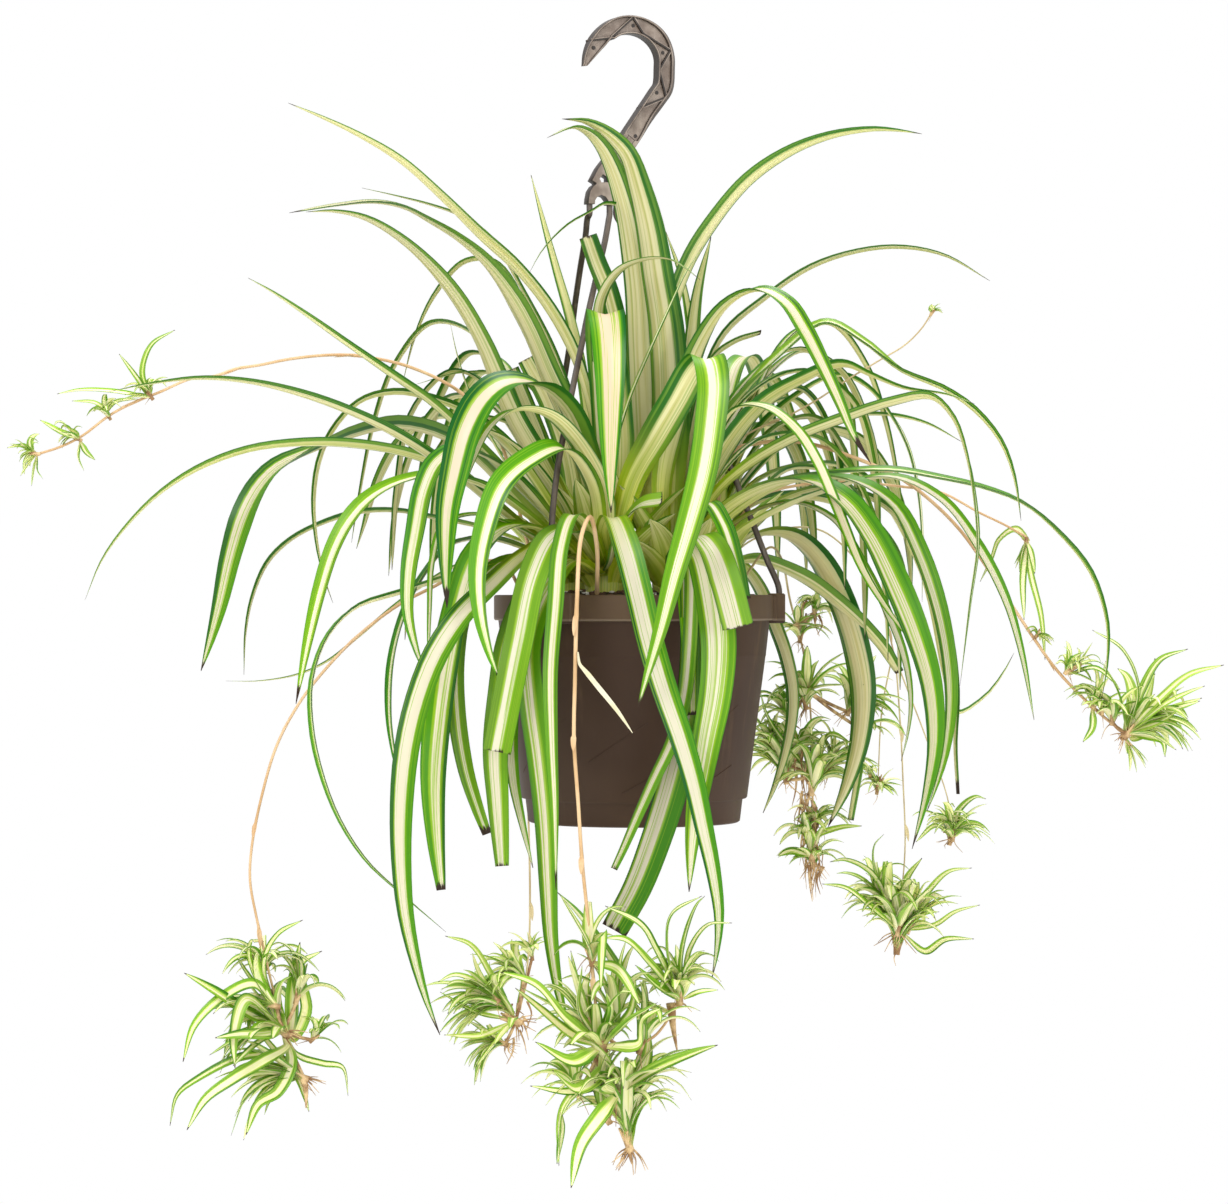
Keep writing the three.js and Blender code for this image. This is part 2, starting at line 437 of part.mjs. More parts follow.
// Runners: points in the front view from the soil to the end, and any side shoots
const RUNNERS = {
  runner_left: [[[540, 590, 8], [524, 530, 6], [495, 430, 4], [460, 392, 4], [410, 367, 4], [360, 356, 4],
    [330, 355, 4], [290, 359, 2], [260, 365, 0], [235, 369, -2], [215, 376, -4], [190, 379, -4],
    [160, 392, -4], [135, 402, -4], [110, 415, -4], [82, 436, -4], [60, 447, -4], [38, 454, -4]]],
  runner_low_left: [[[522, 592, -20], [502, 562, -22], [470, 566, -24], [435, 586, -24], [400, 604, -24],
    [360, 634, -24], [330, 664, -24], [300, 702, -24], [277, 745, -24], [262, 795, -24], [252, 845, -24],
    [250, 880, -24], [256, 915, -24], [264, 950, -24], [272, 985, -24], [284, 1030, -24]]],
  runner_front: [[[597, 592, -66], [597, 548, -98], [590, 517, -124], [581, 538, -140], [577, 600, -148],
    [575, 680, -150], [574, 740, -150], [578, 800, -150], [582, 860, -150], [587, 910, -150],
    [592, 965, -150], [600, 1040, -150], [608, 1070, -150],
    [618, 1096, -150]],
    [[598, 1030, -150], [622, 1046, -147], [652, 1038, -142], [676, 1008, -138]]],
  runner_right: [[[728, 592, 6], [718, 500, 6], [732, 452, 6], [760, 443, 6], [800, 442, 6], [850, 456, 6],
    [900, 478, 6], [930, 500, 6], [960, 530, 6], [990, 572, 6], [1015, 610, 6], [1035, 640, 6],
    [1055, 668, 6], [1080, 695, 6], [1105, 718, 6], [1124, 732, 6]]],
  runner_mid_right: [[[745, 592, 14], [735, 530, 14], [760, 497, 14], [800, 485, 14], [850, 482, 14],
    [905, 487, 14], [940, 492, 14], [980, 513, 14], [1005, 525, 14], [1026, 537, 14]]],
  runner_high_right: [[[714, 592, 12], [706, 500, 12], [740, 440, 12], [790, 415, 12], [820, 398, 12],
    [850, 378, 12], [880, 360, 12], [905, 345, 12], [922, 328, 12], [931, 314, 12]]],
  runner_back_left: [[[540, 592, 40], [528, 560, 80], [524, 600, 100], [526, 700, 102], [528, 800, 102],
    [530, 900, 102], [528, 960, 102], [520, 1010, 102]]],
  runner_back_right: [[[734, 592, 30], [768, 548, 56], [782, 560, 84], [790, 600, 104], [805, 660, 108],
    [812, 740, 108],
    [812, 820, 108], [810, 868, 108]]],
  runner_far_right: [
    [[704, 592, 56], [752, 540, 92], [820, 530, 118], [870, 580, 126], [893, 650, 134], [900, 720, 134],
      [903, 780, 134], [905, 850, 134], [898, 925, 134]],
    [[894, 655, 134], [925, 735, 134], [948, 800, 134], [952, 838, 134]],
    [[893, 652, 134], [882, 710, 134], [878, 780, 134]],
  ],
};

// Plantlets: runner, root point, growth heading in the front view, leaves, length, spread, core radius,
// root stubs, and the chosen leaves as front-view points with a width
const PLANTLETS = {
  plantlet_left_a: ["runner_left", [152, 398, -4], 130, 2, 20, 50, 2.6, 0, [
    [5, [[150, 397, -4], [143, 372, -4], [152, 345, -4], [175, 330, -4]]],
    [5, [[148, 396, -4], [136, 378, -8], [119, 354, -10]]],
    [4, [[148, 397, -4], [110, 391, -10], [80, 390, -12], [57, 394, -12]]],
  ]],
  plantlet_left_b: ["runner_left", [110, 418, -4], 120, 2, 16, 55, 2.4, 0, [
    [3.5, [[107, 412, -4], [95, 403, -8], [72, 401, -8]]],
    [3.5, [[108, 411, -4], [116, 402, -2], [138, 399, 0]]],
  ]],
  plantlet_left_c: ["runner_left", [80, 440, -4], 165, 2, 20, 60, 2.6, 0, [
    [5, [[76, 440, -4], [60, 432, -8], [40, 420, -10]]],
    [4, [[78, 441, -4], [78, 458, 0], [84, 471, 2]]],
    [4, [[80, 442, -4], [86, 452, -8], [95, 460, -10]]],
  ]],
  plantlet_left_d: ["runner_left", [38, 454, -4], 180, 3, 16, 80, 2.8, 0, [
    [3.5, [[34, 452, -4], [20, 446, -6], [7, 448, -8]]],
    [3.5, [[36, 456, -4], [37, 470, -2], [43, 479, 0]]],
  ]],
  plantlet_low_left: ["runner_low_left", [284, 1030, -24], 130, 3, 46, 75, 6, 3, [
    [10, [[280, 1030, -28], [245, 1012, -40], [215, 992, -48], [184, 973, -54]]],
    [8, [[278, 1024, -26], [255, 985, -36], [222, 998, -44], [195, 1025, -48], [183, 1062, -50]]],
    [9, [[288, 1045, -30], [262, 1062, -44], [232, 1080, -52], [205, 1100, -56], [187, 1130, -58]]],
    [7, [[286, 1050, -20], [240, 1058, -20], [200, 1078, -20], [178, 1095, -20], [170, 1126, -20]]],
    [9, [[292, 1060, -28], [278, 1092, -36], [258, 1105, -40], [246, 1135, -42]]],
    [8, [[282, 1022, -26], [265, 965, -30], [278, 935, -32], [303, 920, -34]]],
    [9, [[290, 1030, -22], [292, 990, -18], [300, 942, -16]]],
    [8, [[292, 1040, -20], [306, 1010, -10], [300, 965, -4], [322, 951, -2]]],
    [6, [[296, 1055, -24], [322, 1064, -14], [342, 1068, -8], [348, 1096, -6]]],
    [9, [[278, 1028, -30], [246, 1000, -46], [234, 1035, -54], [235, 1068, -56]]],
    [8, [[290, 1062, -24], [300, 1085, -24], [309, 1112, -24]]],
    [9, [[286, 1042, -32], [262, 1035, -48], [240, 1035, -56], [215, 1038, -60]]],
    [5, [[292, 1058, -14], [262, 1085, -6], [245, 1100, -2], [231, 1136, 0]]],
  ]],
  plantlet_front_high: ["runner_front", [592, 962, -150], 90, 2, 40, 40, 3.6, 2, [
    [8, [[592, 962, -152], [588, 945, -166], [560, 895, -174]]],
    [8, [[594, 962, -152], [604, 940, -168], [604, 936, -172], [601, 990, -180]]],
    [7, [[596, 966, -150], [618, 970, -164], [640, 1005, -172]]],
  ]],
  plantlet_front: ["runner_front", [602, 1046, -150], 110, 3, 62, 65, 6, 0, [
    [10, [[598, 1046, -156], [565, 1020, -176], [535, 985, -186], [500, 972, -192]]],
    [9, [[598, 1050, -154], [570, 1035, -170], [540, 1010, -178], [515, 988, -182]]],
    [10, [[600, 1060, -156], [570, 1062, -176], [535, 1042, -186]]],
    [9, [[602, 1070, -156], [575, 1090, -176], [552, 1070, -184]]],
    [7, [[602, 1080, -154], [570, 1092, -166], [530, 1086, -172]]],
    [8, [[606, 1046, -154], [612, 1010, -164], [606, 992, -168]]],
    [9, [[598, 1048, -152], [578, 1010, -160], [582, 965, -164]]],
    [9, [[608, 1050, -150], [632, 1012, -158], [636, 975, -162]]],
    [9, [[610, 1055, -152], [640, 1045, -164], [644, 1020, -168], [662, 1008, -172]]],
    [6, [[600, 1075, -150], [572, 1095, -150], [561, 1115, -150], [559, 1166, -150]]],
  ]],
  plantlet_front_low: ["runner_front", [618, 1092, -150], 50, 2, 50, 55, 5.5, 4, [
    [10, [[620, 1090, -156], [655, 1070, -170], [690, 1055, -178], [718, 1045, -182]]],
    [10, [[618, 1098, -158], [598, 1118, -178], [580, 1145, -186], [571, 1188, -188]]],
    [9, [[622, 1095, -150], [644, 1065, -144], [650, 1032, -142]]],
    [9, [[616, 1092, -160], [605, 1085, -180], [620, 1078, -188]]],
  ]],
  plantlet_front_right: ["runner_front", [680, 1000, -138], 95, 2, 34, 60, 4.2, 1, [
    [9, [[678, 996, -142], [655, 950, -156], [640, 925, -162], [605, 906, -166]]],
    [9, [[676, 998, -142], [650, 965, -160], [625, 940, -168], [603, 938, -172]]],
    [7, [[680, 994, -140], [668, 950, -150], [672, 915, -154], [702, 896, -156]]],
    [7, [[682, 994, -140], [684, 945, -146], [697, 905, -148], [705, 896, -150]]],
    [4, [[684, 994, -138], [690, 950, -138], [708, 925, -138], [732, 923, -138]]],
    [4, [[686, 998, -138], [700, 992, -142], [718, 990, -144]]],
    [9, [[676, 1000, -144], [655, 985, -160], [635, 965, -166]]],
  ]],
  plantlet_back_left: ["runner_back_left", [516, 1020, 102], 150, 5, 34, 75, 6, 3, [
    [7, [[512, 1012, 100], [490, 975, 92], [470, 945, 86], [445, 936, 82]]],
    [6, [[512, 1018, 100], [480, 985, 92], [455, 975, 86], [438, 982, 84]]],
    [4, [[514, 1020, 100], [475, 1012, 92], [440, 992, 88]]],
    [5, [[518, 1010, 104], [524, 980, 110], [516, 940, 112]]],
    [5, [[514, 1028, 98], [480, 1036, 88], [444, 1035, 84]]],
  ]],
  plantlet_right_a: ["runner_right", [1036, 636, 6], 60, 2, 14, 70, 2.4, 0, []],
  plantlet_right_b: ["runner_right", [1066, 672, 6], 45, 2, 20, 60, 2.8, 0, [
    [4, [[1068, 670, 6], [1072, 660, 4], [1084, 652, 2]]],
    [4, [[1070, 674, 6], [1095, 668, 0], [1112, 680, -4], [1120, 690, -6]]],
  ]],
  plantlet_right_c: ["runner_right", [1092, 706, 6], 40, 2, 15, 70, 2.8, 0, [
    [5, [[1092, 710, 6], [1092, 728, 0], [1083, 742, -4]]],
    [4, [[1090, 704, 6], [1084, 688, 2], [1078, 686, 0]]],
  ]],
  plantlet_right: ["runner_right", [1126, 734, 6], 50, 3, 38, 65, 5, 3, [
    [7, [[1128, 730, 2], [1138, 690, -8], [1122, 650, -14], [1092, 630, -16]]],
    [6, [[1130, 730, 6], [1142, 690, 12], [1160, 660, 16], [1188, 649, 18]]],
    [7, [[1132, 730, 2], [1160, 700, -10], [1190, 675, -16], [1224, 665, -18]]],
    [6, [[1132, 732, 0], [1165, 705, -14], [1190, 692, -20], [1205, 686, -22]]],
    [6, [[1134, 734, 8], [1170, 710, 20], [1202, 698, 26]]],
    [7, [[1134, 736, 6], [1170, 712, 8], [1200, 701, 8]]],
    [6, [[1134, 738, 2], [1165, 720, -8], [1178, 710, -10]]],
    [6, [[1132, 740, 10], [1165, 722, 24], [1178, 722, 28], [1184, 737, 30]]],
    [6, [[1130, 742, 4], [1150, 738, 0], [1162, 742, -2], [1165, 757, -2]]],
    [5, [[1126, 742, 6], [1127, 754, 8]]],
    [6, [[1126, 728, 0], [1118, 692, -10], [1102, 662, -16]]],
    [6, [[1130, 730, 10], [1146, 700, 20], [1155, 658, 24]]],
  ]],
  plantlet_mid_right: ["runner_mid_right", [1026, 540, 14], 270, 2, 20, 40, 2.8, 0, [
    [6, [[1026, 545, 14], [1030, 575, 12], [1040, 615, 12], [1045, 660, 12]]],
    [6, [[1028, 542, 16], [1016, 530, 20], [1000, 540, 24], [992, 560, 26], [980, 582, 28]]],
    [6, [[1024, 545, 12], [1022, 580, 8], [1024, 620, 6]]],
  ]],
  plantlet_high_right: ["runner_high_right", [931, 314, 12], 70, 2, 7, 50, 1.9, 0, []],
  plantlet_back_right: ["runner_back_right", [811, 856, 108], 95, 4, 40, 35, 5, 3, [
    [7, [[806, 850, 104], [790, 852, 98], [778, 856, 96]]],
    [6, [[812, 840, 104], [840, 828, 96], [862, 826, 92]]],
  ]],
  plantlet_back_right_mid: ["runner_back_right", [812, 775, 108], 80, 4, 50, 85, 5.5, 0, [
    [6, [[808, 770, 104], [778, 735, 94], [765, 712, 90], [760, 690, 88]]],
    [6, [[816, 768, 104], [830, 735, 96], [850, 742, 92]]],
  ]],
  plantlet_back_right_low: ["runner_back_right", [806, 690, 108], 90, 4, 40, 80, 4.5, 0, []],
  plantlet_back_right_dry: ["runner_back_right", [797, 625, 106], 20, 3, 22, 85, 3.5, 0, []],
  plantlet_far_right: ["runner_far_right", [898, 930, 134], 80, 3, 46, 45, 5.5, 4, [
    [7, [[894, 925, 130], [872, 875, 120], [845, 860, 114], [830, 862, 112]]],
    [6, [[892, 925, 128], [868, 905, 118], [845, 888, 112], [822, 884, 110]]],
    [6, [[896, 920, 132], [874, 870, 126], [874, 845, 124], [884, 834, 124]]],
    [5, [[900, 925, 136], [925, 895, 146], [948, 872, 150], [972, 868, 152]]],
    [6, [[902, 930, 134], [925, 952, 138], [945, 940, 140], [974, 939, 142]]],
    [4, [[902, 930, 136], [935, 925, 146], [955, 912, 148], [980, 905, 150]]],
    [6, [[898, 920, 134], [906, 880, 140], [922, 858, 142]]],
  ]],
  plantlet_far_right_small: ["runner_far_right", [953, 838, 134], 70, 2, 26, 60, 3.4, 2, [
    [4, [[950, 835, 132], [935, 826, 124], [916, 842, 120]]],
    [5, [[955, 832, 134], [958, 812, 138], [975, 797, 140], [986, 799, 142]]],
    [4, [[957, 834, 136], [975, 826, 144], [990, 835, 146]]],
  ]],
  plantlet_far_right_mini: ["runner_far_right", [878, 784, 134], 60, 4, 16, 80, 3, 1, [
    [4, [[875, 782, 132], [868, 768, 128], [860, 760, 126]]],
    [4, [[881, 784, 134], [893, 790, 138], [898, 796, 140]]],
  ]],
};

// Leaves the front view doesn't single out: full bunches behind and a low inner ring, drawn by rule
function drawnLeaves() {
  const draw = seeded(13);
  const made = {};
  const bunches = [
    ["c", 5, 132, 176, 30],
    ["d", 9, 10, 126, 30],
  ];
  bunches.forEach(([crown, count, from, to, width]) => {
    for (let i = 0; i < count; i++) {
      const heading = from + ((to - from) * (i + 0.2 + 0.6 * draw())) / count;
      const reach = 80 + 90 * draw();
      const rise = 95 + 75 * draw();
      const drop = 40 * draw() - 20;
      made[crown + "Back" + i] = { crown, heading, reach, rise, drop, width: width * (0.42 + 0.2 * draw()) };
    }
  });
  return made;
}

function drawnPoints({ heading, reach, rise, drop }, root) {
  const angle = THREE.MathUtils.degToRad(heading);
  const out = new THREE.Vector3(Math.cos(angle), Math.sin(angle), 0);
  const course = [
    [0.12, 0.34],
    [0.29, 0.7],
    [0.48, 0.94],
    [0.67, 0.98],
    [0.84, 0.83],
    [0.95, 0.6],
    [1.03, 0.3],
  ];
  const points = course.map(([along, up]) =>
    root.clone().addScaledVector(out, reach * along).add(new THREE.Vector3(0, 0, rise * up)),
  );
  points.push(root.clone().addScaledVector(out, reach * 1.07).add(new THREE.Vector3(0, 0, -drop)));
  return points;
}

// Build
const group = new THREE.Group();
group.name = "potted_spider_plant";
const COLOURS = { plastic: 0x4a4039, soil: 0x2b211b, leaf: 0x7fae3a, runner: 0xd9b184, plantlet: 0x8cba45 };

function hookPoint([column, row]) {
  const stretch = 1 / Math.cos(THREE.MathUtils.degToRad(HOOK.yaw));
  return [(column - 627) * MM_PER_STEP * stretch, (34 - row) * MM_PER_STEP];
}

function plate(outline, thickness, offset = 0) {
  const shape = new THREE.Shape(outline.map(([x, y]) => new THREE.Vector2(x, y)));
  const options = { depth: thickness, bevelEnabled: false, curveSegments: 1 };
  const geometry = new THREE.ExtrudeGeometry(shape, options);
  geometry.translate(0, 0, offset - thickness / 2);
  geometry.rotateX(Math.PI / 2);
  geometry.rotateZ(THREE.MathUtils.degToRad(HOOK.yaw));
  return solidOf(geometry);
}

function band(centre, halfWidth) {
  const left = [];
  const right = [];
  centre.forEach((point, i) => {
    const before = centre[Math.max(0, i - 1)];
    const after = centre[Math.min(centre.length - 1, i + 1)];
    const length = Math.hypot(after[0] - before[0], after[1] - before[1]);
    const normal = [-(after[1] - before[1]) / length, (after[0] - before[0]) / length];
    left.push([point[0] + normal[0] * halfWidth, point[1] + normal[1] * halfWidth]);
    right.push([point[0] - normal[0] * halfWidth, point[1] - normal[1] * halfWidth]);
  });
  return left.concat(right.reverse());
}

// The hook in the front view: tip cut, zigzag ribs, head and its hole
const HOOK_TIP = [[584.3, 69.5], [612.5, 38.5], [616, 60], [602, 86], [582, 84]];
const HOOK_POCKET_TIP = [[583, 67.5], [610.6, 36.6], [616, 60], [602, 86], [580, 84]];
const HOOK_RIBS = [[586.6, 44.8], [609.6, 40.4], [631, 16.8], [640.8, 33], [670.5, 47.2], [656.2, 67],
  [668.5, 96], [641, 103]];
const HOOK_HEAD = [[600, 166], [606, 158], [620, 168], [612, 186], [615, 192], [619.4, 200], [619.4, 206],
  [606.6, 206], [606.2, 202], [603.5, 198.4], [599, 196.8], [594.8, 199], [592.6, 202.6], [592.4, 206],
  [586.8, 206], [587.2, 201], [588.6, 194], [591.6, 189], [595, 186.6], [594, 185], [590.5, 183], [593, 178],
  [596.5, 171]];
const HOOK_HOLE = [[600.5, 176], [606.5, 179.5], [606.5, 184.5], [599, 185], [597, 181]];

function buildHook() {
  const course = [];
  const centre = hookPoint([630.3, 60]);
  const throat = hookPoint([630.3, 24.9])[1] - centre[1];
  for (let angle = 192; angle >= -10; angle -= 22) {
    const a = THREE.MathUtils.degToRad(angle);
    course.push([centre[0] + throat * 1.1 * Math.cos(a), centre[1] + throat * Math.sin(a)]);
  }
  [[657, 94], [640.5, 120], [624, 146], [611.5, 165.6]].forEach((p) => course.push(hookPoint(p)));
  const pocket = band(course.slice(0, -2), HOOK.band / 2 - HOOK.flange);
  const pocketTip = HOOK_POCKET_TIP.map(hookPoint);
  const sink = HOOK.thickness / 2 - HOOK.pocketDepth / 2 + 0.05;
  let made = plate(band(course, HOOK.band / 2), HOOK.thickness);
  [sink, -sink].forEach((offset) => {
    const ribs = [];
    for (let i = 0; i + 1 < HOOK_RIBS.length; i++) {
      const from = hookPoint(HOOK_RIBS[i]);
      const to = hookPoint(HOOK_RIBS[i + 1]);
      const length = Math.hypot(to[0] - from[0], to[1] - from[1]);
      const along = [(to[0] - from[0]) / length, (to[1] - from[1]) / length];
      const corner = ([x, y], side) => [
        x - along[1] * side * (HOOK.rib / 2),
        y + along[0] * side * (HOOK.rib / 2),
      ];
      const outline = [corner(from, 1), corner(from, -1), corner(to, -1), corner(to, 1)];
      ribs.push(plate(outline, HOOK.pocketDepth - 0.6, offset - Math.sign(offset) * 0.3));
    }
    const hollow = plate(pocket, HOOK.pocketDepth + 0.1, offset).subtract(plate(pocketTip, 20));
    made = made.subtract(hollow.subtract(join(ribs)));
  });
  made = made.subtract(plate(HOOK_TIP.map(hookPoint), 20));
  const head = plate(HOOK_HEAD.map(hookPoint), HOOK.thickness - 1);
  return made.add(head).subtract(plate(HOOK_HOLE.map(hookPoint), 20));
}

const hook = buildHook();
group.add(toMesh("hanger_hook", hook, COLOURS.plastic));

// Pot with lugs
const POT_INSIDE = [
  [POT.baseRadius - POT.wall, POT.base + 2.6],
  [POT.bandRadius - POT.wall, POT.bandTop],
  [POT.bodyTopRadius - POT.wall, POT.rimBottom],
  [POT.rimRadius - 3.4, POT.rimTop - 6],
  [POT.rimRadius - 2.6, POT.rimTop],
];

function strandFoot(degrees) {
  const angle = THREE.MathUtils.degToRad(degrees);
  return [POT_AXIS_X + STRAND.seat * Math.cos(angle), STRAND.seat * Math.sin(angle)];
}

function buildPot() {
  const profile = [
    [0, POT.base],
    [POT.baseRadius, POT.base],
    [POT.bandRadius, POT.bandTop],
    [POT.bodyBottomRadius, POT.bandTop],
    [POT.bodyTopRadius, POT.rimBottom],
    [POT.rimRadius, POT.rimBottom],
    [POT.rimRadius, POT.rimTop],
    ...POT_INSIDE.slice().reverse(),
    [0, POT.base + 2.6],
  ];
  let pot = turned(profile, POT.sides, POT_AXIS_X, 0);
  const inner = turned([[0, LUG.bottom - 8], ...POT_INSIDE.slice(2), [POT.rimRadius - 2.6, LUG.top + 8],
    [0, LUG.top + 8]], POT.sides, POT_AXIS_X, 0);
  const slotRadius = STRAND.footRadius + CLEARANCE;
  Object.values(LUG_ANGLES).forEach((angle) => {
    const middle = (LUG.reach + LUG.inner) / 2;
    const block = box(LUG.reach - LUG.inner, 2 * LUG.halfWidth, LUG.top - LUG.bottom, middle, 0,
      (LUG.top + LUG.bottom) / 2, angle).translate([POT_AXIS_X, 0, 0]);
    const slot = turned(
      [[0, LUG.top - LUG.slotDepth], [slotRadius, LUG.top - LUG.slotDepth], [slotRadius, LUG.top + 4],
        [0, LUG.top + 4]],
      STRAND.sides,
      ...strandFoot(angle),
    );
    pot = pot.add(block.subtract(inner)).subtract(slot);
  });
  return pot;
}

const pot = buildPot();
group.add(toMesh("pot", pot, COLOURS.plastic));

// Hanger arms: each seats under the hook's head and in its lug
function headSeat(shift) {
  const [x, z] = hookPoint([600, 206]);
  const angle = THREE.MathUtils.degToRad(HOOK.yaw);
  return new THREE.Vector3((x + shift) * Math.cos(angle), (x + shift) * Math.sin(angle), z - CLEARANCE);
}

const STRANDS = {
  strand_front: [6.7, [[609, 218, -6], [605, 241, -11], [595.5, 281, -19], [587.5, 316, -28], [581, 348, -37],
    [566, 422, -54], [556, 480, -66], [552, 540, -76]]],
  strand_back: [-7.3, [[587.5, 218, -10], [585.5, 236, -4], [580, 270, 9], [575, 304, 21], [571, 336, 31],
    [558, 422, 50], [552, 490, 64], [551, 545, 75]]],
  strand_right: [11.5, [[629, 236, -3], [659, 305, 2], [695, 388, 2], [728, 462, 1], [753, 524, 0],
    [767, 560, 0]]],
};
Object.entries(STRANDS).forEach(([name, [shift, points]]) => {
  const [x, y] = strandFoot(LUG_ANGLES[name]);
  const bottom = LUG.top - LUG.slotDepth + CLEARANCE;
  const head = headSeat(shift);
  const course = [head, head.clone().setZ(head.z - 6)].concat(points.map(frontView));
  course.push(new THREE.Vector3(x, y, LUG.top + 3));
  const foot = turned([[0, bottom], [STRAND.footRadius, bottom], [STRAND.footRadius, LUG.top + 4],
    [0, LUG.top + 6]], STRAND.sides, x, y);
  group.add(toMesh(name, stem(course, STRAND.radius, STRAND.step).add(foot), COLOURS.plastic));
});

// Mother plant
const crownRoots = Object.fromEntries(Object.entries(CROWNS).map(([key, place]) => [key, frontView(place)]));
const bunches = Object.fromEntries(
  Object.entries(crownRoots).map(([key, { x, y }]) => [
    key,
    [
      turned([[0, SOIL.top - CROWN.plugDepth], [CROWN.plugRadius, SOIL.top - CROWN.plugDepth],
        [CROWN.plugRadius, SOIL.crown + 1], [CROWN.radius, SOIL.crown + 4],
        [CROWN.topRadius, SOIL.crown + CROWN.height], [0, SOIL.crown + CROWN.height + 6]], 8, x, y),
    ],
  ]),
);
Object.entries(LEAVES).forEach(([name, [crown, width, rolls, places, blunt, heading]]) => {
  const points = places.map(frontView);
  const root = crownRoots[crown].clone().setZ(SOIL.crown + 12);
  const out = points[1].clone().sub(root).setZ(0).normalize();
  points.unshift(root.addScaledVector(out, 3));
  const keeled = width < BLADE.narrow;
  bunches[crown].push(blade(bendsOnly(points, BLADE.bend), width, rolls, blunt, heading ?? null, keeled));
});
Object.values(drawnLeaves()).forEach((leaf) => {
  const root = crownRoots[leaf.crown].clone().setZ(SOIL.crown + 12);
  const points = bendsOnly([root].concat(drawnPoints(leaf, root)), 3 * BLADE.bend);
  bunches[leaf.crown].push(blade(points, leaf.width, [0], false, leaf.heading));
});

// Runners and plantlets
const runnerSolids = {};
const runnerRoots = [];
Object.entries(RUNNERS).forEach(([name, courses]) => {
  const root = frontView(courses[0][0]);
  const deep = SOIL.top - RUNNER.hole + CLEARANCE;
  const plug = turned([[0, deep], [RUNNER.plug, deep], [RUNNER.plug, SOIL.crown + 3], [0, SOIL.crown + 5]], 6,
    root.x, root.y);
  const build = (extra) =>
    join(
      courses.map((course, i) => {
        const points = course.map(frontView);
        if (i === 0) points[0].setZ(SOIL.crown);
        const radius = i === 0 ? RUNNER.radius : RUNNER.radius * 0.9;
        return stem(points, radius + extra, RUNNER.step, RUNNER.sides);
      }),
    );
  runnerSolids[name] = { slim: build(0).add(plug), wide: build(CLEARANCE) };
  runnerRoots.push(root);
});

function plantletPoints(origin, heading, spread, length, draw) {
  const axis = THREE.MathUtils.degToRad(heading);
  const grow = new THREE.Vector3(Math.cos(axis), 0, Math.sin(axis));
  const tilt = THREE.MathUtils.degToRad(12 + (spread - 12) * Math.sqrt(draw()));
  const spin = draw() * Math.PI;
  const sideways = new THREE.Vector3(-Math.sin(axis), 0, Math.cos(axis));
  const away = new THREE.Vector3(0, -1, 0);
  const aim = grow.clone().multiplyScalar(Math.cos(tilt));
  aim.addScaledVector(sideways, Math.sin(tilt) * Math.cos(spin));
  aim.addScaledVector(away, Math.sin(tilt) * Math.sin(spin));
  const reach = length * (0.65 + 0.6 * draw());
  const sag = 0.15 + 0.35 * draw();
  return [0.5, 1].map((t) =>
    origin.clone().addScaledVector(aim, reach * t).add(new THREE.Vector3(0, 0, -sag * reach * t * t)),
  );
}

const plantletSolids = {};
Object.entries(PLANTLETS).forEach(([name, spec], order) => {
  const [runner, place, heading, count, length, spread, core, roots, chosen] = spec;
  const draw = seeded(1000 + order * 37);
  const origin = frontView(place);
  origin.y -= core * PLANTLET.seat;
  const heart = solidOf(new THREE.SphereGeometry(core * 1.15, 4, 2));
  const pieces = [heart.scale([1, 1, 1.35]).translate(origin.toArray())];
  const rooted = (points) => {
    const clear = points.filter((point) => point.distanceTo(origin) > core * 1.3);
    const out = clear[0].clone().sub(origin).normalize();
    return [origin.clone().addScaledVector(out, core * PLANTLET.sink)].concat(clear);
  };
  chosen.forEach(([width, places]) => {
    const points = bendsOnly(rooted(places.map(frontView)), PLANTLET.bend);
    pieces.push(blade(points, width, [-20], false, null, true));
  });
  for (let i = 0; i < count; i++) {
    const points = rooted(plantletPoints(origin, heading, spread, length, draw));
    pieces.push(blade(points, Math.min(8, PLANTLET.leaf + length * PLANTLET.growth), [0], false, null, true));
  }
  for (let i = 0; i < roots; i++) {
    const angle = THREE.MathUtils.degToRad(heading + 180 + (i - (roots - 1) / 2) * 28);
    const aim = new THREE.Vector3(Math.cos(angle), (draw() - 0.5) * 0.8, Math.sin(angle));
    const end = origin.clone().addScaledVector(aim, core * (2.4 + 1.2 * draw()));
    const middle = origin.clone().lerp(end, 0.5).add(new THREE.Vector3(draw() * 2 - 1, draw() * 2 - 1, 0));
    pieces.push(stem([origin.clone(), middle, end], core * 0.26, 8, 4));
  }
  plantletSolids[name] = largestBody(join(pieces).subtract(runnerSolids[runner].wide));
});

// Soil with plain holes
const soilOutside = POT_INSIDE.slice(0, 3).map(([radius, height]) => [radius - CLEARANCE, height]);
soilOutside[0][1] += CLEARANCE;
let soil = turned([
  [0, soilOutside[0][1]],
  ...soilOutside,
  [soilOutside[2][0], SOIL.top],
  [0, SOIL.crown],
], POT.sides, POT_AXIS_X, 0);
Object.values(crownRoots).forEach(({ x, y }) => {
  soil = soil.subtract(turned([[0, SOIL.top - CROWN.plugDepth - CLEARANCE],
    [CROWN.plugRadius + CLEARANCE, SOIL.top - CROWN.plugDepth - CLEARANCE],
    [CROWN.plugRadius + CLEARANCE, SOIL.crown + 10], [0, SOIL.crown + 10]], 8, x, y));
});
runnerRoots.forEach(({ x, y }) => {
  const radius = RUNNER.plug + CLEARANCE;
  soil = soil.subtract(turned([[0, SOIL.top - RUNNER.hole], [radius, SOIL.top - RUNNER.hole],
    [radius, SOIL.crown + 10], [0, SOIL.crown + 10]], 6, x, y));
});
group.add(toMesh("soil", soil, COLOURS.soil));

